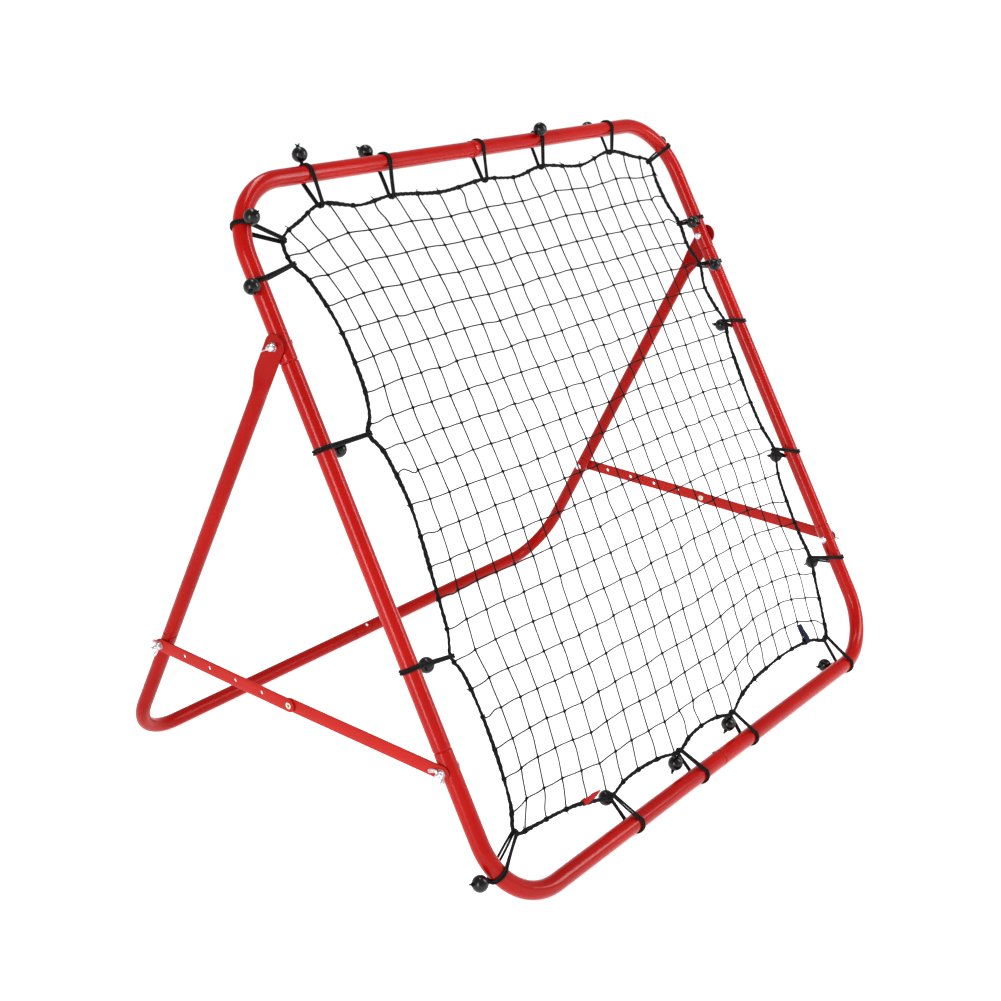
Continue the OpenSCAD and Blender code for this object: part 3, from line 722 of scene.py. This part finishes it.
wash = Build()
for side, sx in SIDES:
    out = XX * sx
    for node, body, at in (("pivot_bolt_", "front_frame", piv), ("frame_bolt_", "front_frame", FB),
                           ("leg_bolt_", "rear_leg", LB)):
        inner, outer = x_span(node + side)
        bolt_piece(node + side, body, sx * (inner + 3.5 * MM), sx * outer, at, out)
    strut_washer = Build()
    for what, at, turn, under in (("pivot", piv, PIVOT_TURN, wash), ("frame", FB, FRAME_TURN, wash),
                                  ("leg", LB, LEG_TURN, strut_washer)):
        x_nut = x_span(what + "_wing_nut_" + side)[0]
        wing_nut(what + "_wing_nut_" + side, what + "_nut_" + side, at_x(sx * x_nut, at), out, turn)
        washer(under, at_x(sx * (x_nut - 1.3 * MM), at), out)
    strut_washer.make("strut_washer_" + side, M_ZINC, "rear_link_" + side, "zinc")
    inner, outer = x_span("strut_stud_" + side)
    b = Build()
    thread_rod(b, at_x(sx * inner, LB), out, outer - inner)
    b.make("strut_stud_" + side, M_ZINC, "rear_link_" + side, "zinc")
    # hollow rivet, rolled heads
    inner, outer = x_span("link_rivet_" + side)
    h = (outer - inner) / MM
    prof = [(0.0, 1.7), (0.0, 4.2), (0.4, 4.9), (1.0, 4.9), (1.2, 3.0), (h - 1.0, 3.0), (h - 0.9, 4.8),
            (h - 0.4, 4.9), (h, 4.2), (h + 0.1, 3.0), (h - 0.3, 2.1), (h - 1.0, 1.7), (0.0, 1.7)]
    b = Build()
    lathe(b, at_x(sx * inner, RV), out, [(a * MM, r * MM) for a, r in prof], 36)
    b.make("link_rivet_" + side, M_BRASS, "front_link_" + side, "rivet_metal")
wash.make("frame_washers", M_ZINC, "front_frame", "zinc")

b = Build()
prof = [(3.0, 4.4), (4.1, 4.4), (4.2, 2.9), (10.5, 2.9)]
prof += [(10.5 + 2.0 * math.sin(a), 2.9 * math.cos(a)) for a in np.linspace(0, math.pi / 2, 8)]
lathe(b, leg_pt(BUTTON_X, LEG_LEN), -LD, [(a * MM, r * MM) for a, r in prof], 28)
b.make("rear_snap_button", M_ZINC, "rear_button", "zinc")

b = Build()
o = P(-7, 12.4)
pan_head(b, o, UP, 0.003, 0.0017)
lathe(b, o - UP * 0.004, UP, [(0.0, 0.0), (0.0, 0.0012), (0.004, 0.0015)], 16)
b.make("bottom_screw", M_DARK, "front_frame", "zinc")


# ---------------------------------------------------------------- bungees and net
# wrap point on the tube, eye on the rope, direction of the tube, ball centre as x, s, n (mm)
BUNGEES = {
    "top": [((-355, 1000), (-350, 955), 0, (-352, 1029, 0)),
            ((-200, 1000), (-210, 950), 0, (-206, 1026, -20)),
            ((10, 1000), (0, 950), 0, (13, 1009, -28)), ((160, 1000), (145, 955), 0, (149, 1009, 23)),
            ((355, 1000), (340, 960), 0, (337, 1014, -22)), ((496, 947), (440, 930), -62, (513, 964.5, -10))],
    "right": [((507.5, 810), (455, 810), 90, (467, 803, 18)), ((507.5, 725), (465, 730), 90, (479, 720, 19)),
              ((507.5, 610), (470, 620), 90, (489, 618, -22.5)),
              ((507.5, 360), (460, 380), 90, (491, 366.5, -22.5)),
              ((507.5, 160), (435, 185), 90, (468, 173, -22))],
    "bottom": [((410, 0), (385, 55), 0, (388, 10, -25)), ((90, 0), (70, 45), 0, (62, 32, -9)),
               ((-55, 0), (-80, 45), 0, (-87, 31, -10)), ((-225, 0), (-250, 50), 0, (-243, 47, -18)),
               ((-497, 55), (-445, 85), -64, (-527, 56, -4))],
    "left": [((-507.5, 335), (-435, 325), 90, (-461, 327, -21)),
             ((-507.5, 635), (-425, 635), 90, (-464, 630, -22)),
             ((-507.5, 867), (-440, 880), 90, (-530, 860, 12)),
             ((-497.5, 943.5), (-440, 915), 64, (-500, 946, 27))],
}
RING = 14.15          # centreline radius of an elastic strand round the tube
EYE = 4.6             # and round the rope
STRAND = 1.65         # strand radius
STRAND_APART = 1.85   # each strand's distance from the middle of the pair
NEAR_TUBE, NEAR_ROPE = 36, 22        # a ball closer than this hangs on the ring or the eye
BALL, BALL_HOLE = 11.0, 1.95         # radii


def local(x, s, n=0.0):
    return np.array([x, n, s], float)


def to_world(v):
    return P(v[0], v[2], v[1])


# border rope: the route of the taut rope round the net, corner by corner, in millimetres on the face
LEFT_RUN = [(-440, 915), (-440, 880), (-425, 860), (-412, 825), (-402, 780), (-400, 735), (-402, 690),
            (-412, 655), (-425, 635), (-412, 610), (-405, 570), (-402, 525), (-406, 480), (-412, 435),
            (-418, 390), (-425, 350), (-435, 325), (-426, 300), (-422, 260), (-422, 210), (-426, 160),
            (-434, 115), (-445, 85)]
BOTTOM_RUN = [(-405, 78), (-360, 74), (-315, 67), (-280, 57), (-250, 50), (-215, 57), (-170, 58), (-120, 53),
              (-80, 45), (-45, 54), (-5, 57), (35, 53), (70, 45), (105, 58), (150, 68), (200, 72), (250, 74),
              (300, 72), (345, 66), (385, 55)]
RIGHT_RUN = [(405, 95), (420, 140), (435, 185), (432, 230), (434, 285), (442, 340), (460, 380), (450, 425),
             (448, 480), (452, 540), (458, 590), (470, 620), (460, 650), (452, 690), (465, 730), (452, 770),
             (455, 810), (442, 850), (438, 890), (440, 930)]
TOP_RUN = [(400, 944), (340, 960), (245, 945), (145, 955), (75, 945), (0, 950), (-105, 942), (-210, 950),
           (-280, 944), (-350, 955), (-395, 938)]
EYES = [b[1] for rows in BUNGEES.values() for b in rows]
NC = 20


def spline(pts, closed, step):
    """Centripetal curve through every point, sampled about every step."""
    pts = np.asarray(pts, float)
    n = len(pts)
    out = []
    for i in range(n if closed else n - 1):
        if closed:
            p0, p1, p2, p3 = (pts[(i + k) % n] for k in (-1, 0, 1, 2))
        else:
            p1, p2 = pts[i], pts[i + 1]
            p0 = pts[i - 1] if i else 2 * p1 - p2
            p3 = pts[i + 2] if i + 2 < n else 2 * p2 - p1
        t1 = np.linalg.norm(p1 - p0) ** 0.5
        t2 = t1 + np.linalg.norm(p2 - p1) ** 0.5
        t3 = t2 + np.linalg.norm(p3 - p2) ** 0.5
        m = max(2, int(round(np.linalg.norm(p2 - p1) / step)))
        for t in np.linspace(t1, t2, m, endpoint=False):
            a1 = (t1 - t) / t1 * p0 + t / t1 * p1
            a2 = (t2 - t) / (t2 - t1) * p1 + (t - t1) / (t2 - t1) * p2
            a3 = (t3 - t) / (t3 - t2) * p2 + (t - t2) / (t3 - t2) * p3
            b1 = (t2 - t) / t2 * a1 + t / t2 * a2
            b2 = (t3 - t) / (t3 - t1) * a2 + (t - t1) / (t3 - t1) * a3
            out.append((t2 - t) / (t2 - t1) * b1 + (t - t1) / (t2 - t1) * b2)
    if not closed:
        out.append(pts[-1])
    return np.array(out)


route = spline(LEFT_RUN + BOTTOM_RUN + RIGHT_RUN + TOP_RUN, True, 4.0)


def side_ties(a, c, count):
    """Tie points of one side of the net: evenly along the rope from corner a to corner c."""
    ia = int(np.argmin(np.linalg.norm(route - a, axis=1)))
    ic = int(np.argmin(np.linalg.norm(route - c, axis=1)))
    if ic <= ia:
        ic += len(route)
    seg = route[np.arange(ia, ic + 1) % len(route)]
    arc = np.concatenate([[0], np.cumsum(np.linalg.norm(np.diff(seg, axis=0), axis=1))])
    q = (np.arange(count) + 0.55) / (count + 0.1) * arc[-1]
    q = q + rng.normal(0, 1.6, count)
    return np.stack([np.interp(q, arc, seg[:, 0]), np.interp(q, arc, seg[:, 1])], 1)


ties_left = side_ties((-440, 915), (-445, 85), NC)[::-1]        # bottom to top
ties_bottom = side_ties((-445, 85), (385, 55), NC)              # left to right
ties_right = side_ties((385, 55), (440, 930), NC)               # bottom to top
ties_top = side_ties((440, 930), (-440, 915), NC)[::-1]         # left to right


def relax_net():
    """Knots joined by pulled cords and tied to the rope: each settles where its cords balance."""
    gx = np.linspace(0, 1, NC + 2)[1:-1]
    k = np.zeros((NC, NC, 2))
    for i in range(NC):
        for j in range(NC):
            k[i, j] = ((1 - gx[i]) * ties_left[j] + gx[i] * ties_right[j]) * 0.5 + \
                ((1 - gx[j]) * ties_bottom[i] + gx[j] * ties_top[i]) * 0.5
    full = np.zeros((NC + 2, NC + 2, 2))
    full[0, 1:-1], full[-1, 1:-1] = ties_left, ties_right
    full[1:-1, 0], full[1:-1, -1] = ties_bottom, ties_top
    full[1:-1, 1:-1] = k
    rest_x = 30.0 * (1 + rng.normal(0, 0.05, (NC + 1, NC)))
    rest_y = 30.0 * (1 + rng.normal(0, 0.05, (NC, NC + 1)))
    for _ in range(900):
        f = np.zeros((NC, NC, 2))
        d = full[1:, 1:-1] - full[:-1, 1:-1]
        length = np.linalg.norm(d, axis=-1)
        q = ((length - rest_x) / length)[..., None] * d
        f += q[1:] - q[:-1]
        d = full[1:-1, 1:] - full[1:-1, :-1]
        length = np.linalg.norm(d, axis=-1)
        q = ((length - rest_y) / length)[..., None] * d
        f += q[:, 1:] - q[:, :-1]
        full[1:-1, 1:-1] += 0.2 * f
    return full


mesh_pts = relax_net()

# depth of each knot out of the face: nearly flat, with the looseness of hand-tied cord
nz = rng.normal(0, 1.0, (NC + 2, NC + 2))
for _ in range(6):
    nz = (nz + np.roll(nz, 1, 0) + np.roll(nz, -1, 0) + np.roll(nz, 1, 1) + np.roll(nz, -1, 1)) / 5
nz = nz / abs(nz).max() * 3.0
nz[0], nz[-1], nz[:, 0], nz[:, -1] = 0, 0, 0, 0


def knot_pt(i, j):
    return local(mesh_pts[i, j, 0], mesh_pts[i, j, 1], nz[i, j])


net = Build()


def twine(a, c, slack):
    """One cord of the net between two knots, bowed a little."""
    d = c - a
    off = rng.normal(0, 0.5 * slack, 2)
    side = unit(np.cross(d, np.array([0, 1.0, 0])))
    pts = []
    for k in range(7):
        q = k / 6
        bow = math.sin(math.pi * q)
        wag = math.sin(2 * math.pi * q) * 0.4 * slack
        pts.append(a + d * q + side * (off[0] * bow + wag * off[1]) + np.array([0, off[1] * bow, 0]))
    w = np.array([to_world(p) for p in pts])
    r = np.array([1.2, 1.1, 1.06, 1.04, 1.06, 1.1, 1.2]) * MM
    sweep(net, w, r, sides=8)


def net_knot(p, ang, size=1.0):
    """Small tied knot: two crossed turns over a core."""
    c = to_world(p)
    ux = XX * math.cos(ang) + UP * math.sin(ang)
    uy = -XX * math.sin(ang) + UP * math.cos(ang)
    blob(net, c, 1.35 * MM * size, 8, 6, (1.2, 0.95, 0.9), (ux, uy, NR))
    for s, v, w_ in ((1, ux, uy), (-1, uy, ux)):
        pts = []
        for q in np.linspace(0, 2 * math.pi, 9, endpoint=False):
            pts.append(c + (v * math.cos(q) * 1.5 + NR * math.sin(q) * 1.25) * MM * size
                       + w_ * 0.5 * MM * s * math.cos(2 * q))
        sweep(net, pts, 0.66 * MM, sides=6, closed=True)


for i in range(1, NC + 1):
    for j in range(1, NC + 1):
        net_knot(knot_pt(i, j), rng.uniform(0.2, 1.2), rng.uniform(1.15, 1.45))
for across in (True, False):
    for k in range(NC + 1):
        for m in range(1, NC + 1):
            edge = k in (0, NC)
            loose = edge and rng.random() < 0.3
            a, c = ((k, m), (k + 1, m)) if across else ((m, k), (m, k + 1))
            twine(knot_pt(*a), knot_pt(*c), 3.2 if loose else (1.8 if edge else 1.1))
net.make("net_panel", M_TWINE, "front_frame", "net_cord", 60)

# rope: laid cord, with a bound lump at each tie, a cut end at about half of the ties and a bound stretch at
# each eye
fine = np.array([to_world(local(p[0], p[1], 0)) for p in spline(route[::3], True, 2.0)])
rad = np.full(len(fine), 2.6 * MM)
wob = rng.normal(0, 1, len(fine))
ker = np.ones(13) / 13
wob = np.convolve(np.concatenate([wob[-6:], wob, wob[:6]]), ker, "valid")
rad *= 1 + 0.4 * wob
all_ties = np.concatenate([ties_left, ties_bottom, ties_right, ties_top])
tie_w = np.array([to_world(local(p[0], p[1], 0)) for p in all_ties])
eye_w = np.array([to_world(local(p[0], p[1], 0)) for p in EYES])
for p in eye_w:
    rad += 0.6 * MM * np.exp(-(np.linalg.norm(fine - p, axis=1) / 0.007) ** 2)
tie_size = rng.uniform(0.35, 1.0, len(tie_w))
for p, size in zip(tie_w, tie_size):
    rad += 0.6 * size * MM * np.exp(-(np.linalg.norm(fine - p, axis=1) / 0.0035) ** 2)
b = Build()
sweep(b, fine, rad, sides=15, closed=True, lobes=3, pitch=0.010, depth=0.12)
for p, size in zip(tie_w, tie_size):
    k = int(np.argmin(np.linalg.norm(fine - p, axis=1)))
    c = fine[k]
    tdir = unit(fine[(k + 2) % len(fine)] - fine[k - 2])
    side = unit(np.cross(tdir, NR))
    lean = rng.uniform(-0.5, 0.5)
    turn_r = 2.7 + 0.5 * size
    for s in (-1.3, 0.0, 1.3):
        pts = [c + (tdir * (s + lean * math.sin(q)) + (side * math.cos(q) + NR * math.sin(q)) * turn_r) * MM
               for q in np.linspace(0, 2 * math.pi, 12, endpoint=False)]
        sweep(b, pts, 0.75 * MM, sides=6, closed=True)
    if rng.random() < 0.45:
        outw = side * (1 if rng.random() < 0.5 else -1)
        tip = c + (outw * rng.uniform(5, 8) + tdir * rng.uniform(-4, 4) + NR * rng.uniform(-2, 2)) * MM
        mid = c + outw * 3.6 * MM + tdir * rng.uniform(-1, 1) * MM
        sweep(b, spline([c, mid, tip], False, 0.0012), 0.7 * MM, sides=6)
b.make("border_rope", M_ROPE, "front_frame", "rope_cord", 60)


def strand_path(bg, shift, wob):
    """One elastic strand: round the tube, along the back, round the rope, home along the front."""
    wrap, eye, tdir = bg[:3]
    w = local(wrap[0], wrap[1])
    e = local(eye[0], eye[1])
    t = np.array([math.cos(math.radians(tdir)), 0, math.sin(math.radians(tdir))])
    u = unit(e - w)
    n = np.array([0, 1.0, 0])
    q = np.cross(t, n)
    if q @ u > 0:
        q = -q                                    # q points out of the net, away from the rope
    dist = np.linalg.norm(e - w)
    sb = (RING - EYE) / dist
    cb = math.sqrt(1 - sb * sb)
    perp = unit(np.cross(n, u))                   # in the face, across the run
    if perp @ t < 0:
        perp = -perp
    beta = math.asin(sb)
    # ring, from the front tangent round the outside to the back tangent
    ring = [w + (n * math.sin(a) - q * math.cos(a)) * RING + t * shift
            for a in np.linspace(math.pi / 2 - beta, math.pi / 2 - beta + math.pi + 2 * beta, 22)]
    front_t = w + (n * cb + u * sb) * RING
    back_t = w + (-n * cb + u * sb) * RING
    run_b = [back_t + (e + (-n * cb + u * sb) * EYE - back_t) * f + perp * shift * (1 - 0.15 * f) +
             perp * wob * math.sin(3.1 * f) for f in np.linspace(0.12, 0.97, 8)]
    eye_arc = [e + (u * math.cos(a) + n * math.sin(a)) * EYE + perp * shift * 0.85
               for a in np.linspace(-math.pi / 2 + beta, math.pi / 2 - beta, 9)]
    run_f = [front_t + (e + (n * cb + u * sb) * EYE - front_t) * f + perp * shift * (1 - 0.15 * f) -
             perp * wob * math.sin(3.1 * f) for f in np.linspace(0.97, 0.12, 8)]
    return np.array([to_world(p) for p in ring + run_b + eye_arc + run_f])


def neck_start(bg):
    """Where the ends of a loop leave it for the ball: on the ring, on the eye or on a run."""
    wrap, eye, tdir, ball = bg
    w, e = local(wrap[0], wrap[1]), local(eye[0], eye[1])
    c = local(ball[0], ball[1], ball[2])
    t = np.array([math.cos(math.radians(tdir)), 0, math.sin(math.radians(tdir))])
    d = unit(e - w)
    te = np.array([-d[2], 0, d[0]])
    if np.linalg.norm(c - w) < NEAR_TUBE:
        v = c - w
        return w + unit(v - t * (v @ t)) * RING
    if np.linalg.norm(c - e) < NEAR_ROPE:
        v = c - e
        return e + unit(v - te * (v @ te)) * EYE
    f = ((c - w) @ (e - w)) / ((e - w) @ (e - w))
    return w + (e - w) * f + np.array([0, (1 if c[1] > 0 else -1) * (RING + (EYE - RING) * f), 0])


for part, rows in BUNGEES.items():
    loops, balls = Build(), Build()
    for bg in rows:
        for s in (-STRAND_APART, STRAND_APART):
            line = strand_path(bg, s, rng.normal(0, 0.5))
            line = resample(smooth_line(line, True, 1), 0.0028, True)
            sweep(loops, line, STRAND * MM, sides=10, closed=True)
        c = to_world(local(*bg[3]))
        base = to_world(neck_start(bg))
        out = unit(c - base)
        side = unit(np.cross(out, np.array([0.2, 0.5, 0.8])))
        up_ = np.cross(out, side)
        # neck: the two ends of the loop going into the ball
        for s in (-1, 1):
            pts = [base + side * s * 1.2 * MM, base + (c - base) * 0.35 + side * s * 1.5 * MM,
                   c - out * 9 * MM + side * s * 0.75 * MM, c + side * s * 0.75 * MM]
            sweep(loops, smooth_line(pts, False, 2), 1.3 * MM, sides=8)
        # ball with a rounded hole at each end and a fine mould line
        a0 = math.asin(BALL_HOLE / BALL)
        rim = BALL * math.cos(a0 * 1.05) - 0.35
        prof = [(-BALL * 0.80, BALL_HOLE * 0.9), (-rim, BALL_HOLE * 0.96)]
        for a in np.linspace(a0 * 1.35, math.pi - a0 * 1.35, 30):
            rr = BALL * (1 - 0.006 * math.exp(-((a - math.pi / 2) / 0.035) ** 2))
            prof.append((-rr * math.cos(a), rr * math.sin(a)))
        prof += [(rim, BALL_HOLE * 0.96), (BALL * 0.80, BALL_HOLE * 0.9)]
        lathe(balls, c, out, [(a * MM, r * MM) for a, r in prof], 40)
        # knot outside the far hole, with two cut tails
        k0 = c + out * 11.6 * MM
        for a in (0.0, 1.05, 2.1):
            v = side * math.cos(a) + up_ * math.sin(a)
            pts = [k0 + (v * math.cos(q) * 1.9 + out * math.sin(q) * 1.5) * MM
                   for q in np.linspace(0, 2 * math.pi, 12, endpoint=False)]
            sweep(loops, pts, 1.15 * MM, sides=7, closed=True)
        for s in (-1, 1):
            tip = k0 + out * 4.2 * MM + side * s * 2.4 * MM + up_ * rng.normal(0, 0.8) * MM
            tail = smooth_line([k0, k0 + out * 2 * MM + side * s * 0.8 * MM, tip], False, 2)
            sweep(loops, tail, 1.05 * MM, sides=8)
    loops.make("bungee_loops_" + part, M_ELASTIC, "front_frame", "elastic", 60)
    balls.make("bungee_balls_" + part, M_BALL, "front_frame", "ball_plastic", 50)


def tag_piece(node, mat, slot, x, s, aim, length, width, point, curl):
    """Ribbon turned round the rope: a short end behind, the long end along the net, curled and cut."""
    b = Build()
    a = math.radians(aim)
    du = np.array([math.cos(a), 0, math.sin(a)])
    dw = np.array([-math.sin(a), 0, math.cos(a)])
    cols = 7
    line = [(q * length, 3.3 + curl * math.sin(q * 2.4) + 0.5 * math.sin(q * 9))
            for q in (1 - k / 12 for k in range(13))]
    line += [(-3.2 * math.sin(q), 3.2 * math.cos(q)) for q in np.linspace(0.3, math.pi - 0.3, 8)]
    line += [(k * 2.0, -3.1 + 0.2 * k) for k in range(5)]
    V, F, U = [], [], []
    for i, (u, n_) in enumerate(line):
        q = max(0.0, u / length)
        taper = 1 - point * max(0.0, q - 0.55) / 0.45
        for k in range(cols):
            t = k / (cols - 1) - 0.5
            slant = (1 - point) * 0.16 * length * t * max(0.0, q - 0.7) / 0.3
            p = np.array([x, 0, s]) + du * (u + slant) + dw * width * t * taper
            V.append(P(p[0], p[2], n_ + 0.6 * math.cos(t * 5.0) - 0.4 * t * math.sin(u * 0.2)))
    for i in range(len(line) - 1):
        for k in range(cols - 1):
            F.append((i * cols + k, i * cols + k + 1, (i + 1) * cols + k + 1, (i + 1) * cols + k))
            u0, u1, v0, v1 = i * 0.003, (i + 1) * 0.003, k / (cols - 1), (k + 1) / (cols - 1)
            U.append([(u0, v0), (u0, v1), (u1, v1), (u1, v0)])
    b.add(V, F, U)
    mod = b.make(node, mat, "front_frame", slot, 80).modifiers.new("thick", "SOLIDIFY")
    mod.thickness = 0.6 * MM
    mod.offset = 0


tag_piece("tag_red", M_RED_TAG, "tag_red_cloth", -305, 65, 4, 34, 8, 0.85, 1.2)
tag_piece("tag_navy", M_NAVY_TAG, "tag_navy_cloth", 330, 70, 107, 33, 13, 0.0, 1.0)

# ---------------------------------------------------------------- floor, light, camera
def stage_mat():
    m, nt, b = node_mat("floor_pale")
    f = noise(nt, obj_coord(nt), 0.6, 2.0)
    nt.links.new(ramp(nt, f, [(0.2, (0.93, 0.93, 0.93)), (0.8, (0.95, 0.95, 0.95))]), b.inputs["Base Color"])
    b.inputs["Roughness"].default_value = 0.9
    b.inputs["Specular IOR Level"].default_value = 0.1
    b.inputs["Emission Color"].default_value = (1.0, 1.0, 1.0, 1.0)
    b.inputs["Emission Strength"].default_value = 0.58
    return m


bpy.ops.mesh.primitive_plane_add(size=400, location=(0, 0, 0))
floor = bpy.context.object
floor.name = "floor"
floor.data.materials.append(stage_mat())

bpy.context.scene.view_settings.view_transform = "Standard"
world = bpy.data.worlds.new("studio")
bpy.context.scene.world = world
world.use_nodes = True
wt = world.node_tree
bg = next(n for n in wt.nodes if n.type == "BACKGROUND")
wdir = wt.nodes.new("ShaderNodeTexCoord")
wsep = wt.nodes.new("ShaderNodeSeparateXYZ")
wt.links.new(wdir.outputs["Generated"], wsep.inputs["Vector"])
# white at the horizon, grey overhead
sky = ramp(wt, wsep.outputs["Z"], [(0.12, (1.0, 1.0, 1.0)), (0.5, (0.42, 0.42, 0.42))])
wt.links.new(sky, bg.inputs["Color"])
bg.inputs["Strength"].default_value = 1.0


def area(name, loc, target, size, energy):
    """Rectangular lamp at loc facing target, size in metres, energy in watts."""
    li = bpy.data.lights.new(name, "AREA")
    li.shape = "RECTANGLE"
    li.size, li.size_y = size
    li.energy = energy
    ob = bpy.data.objects.new(name, li)
    bpy.context.scene.collection.objects.link(ob)
    ob.location = loc
    ob.rotation_euler = (Vector(target) - Vector(loc)).to_track_quat("-Z", "Y").to_euler()


area("left", (-3.6, -0.9, 1.15), (0, 0, 0.5), (0.9, 2.2), 80)
area("right", (1.45, -2.1, 1.8), (0, 0, 0.5), (0.8, 2.0), 52)
area("top", (0.3, 0.6, 3.4), (0, 0, 0.4), (0.7, 2.4), 45)

cam = bpy.data.cameras.new("camera")
cam_ob = bpy.data.objects.new("camera", cam)
bpy.context.scene.collection.objects.link(cam_ob)
# solved from the photograph: place measured from the lower front tube, heading from +Y, tilt down
yaw, tilt = math.radians(51.18), math.radians(15.58)
fwd = Vector((math.sin(yaw) * math.cos(tilt), math.cos(yaw) * math.cos(tilt), -math.sin(tilt)))
cam_ob.location = (-1.8081, -1.0435 + bar[1], 1.1860)
cam_ob.rotation_euler = fwd.to_track_quat("-Z", "Y").to_euler()
cam.sensor_width = 36.0
cam.lens = 54.92
cam.shift_x = -0.0064
cam.shift_y = -0.1223
cam.clip_end = 500
bpy.context.scene.camera = cam_ob
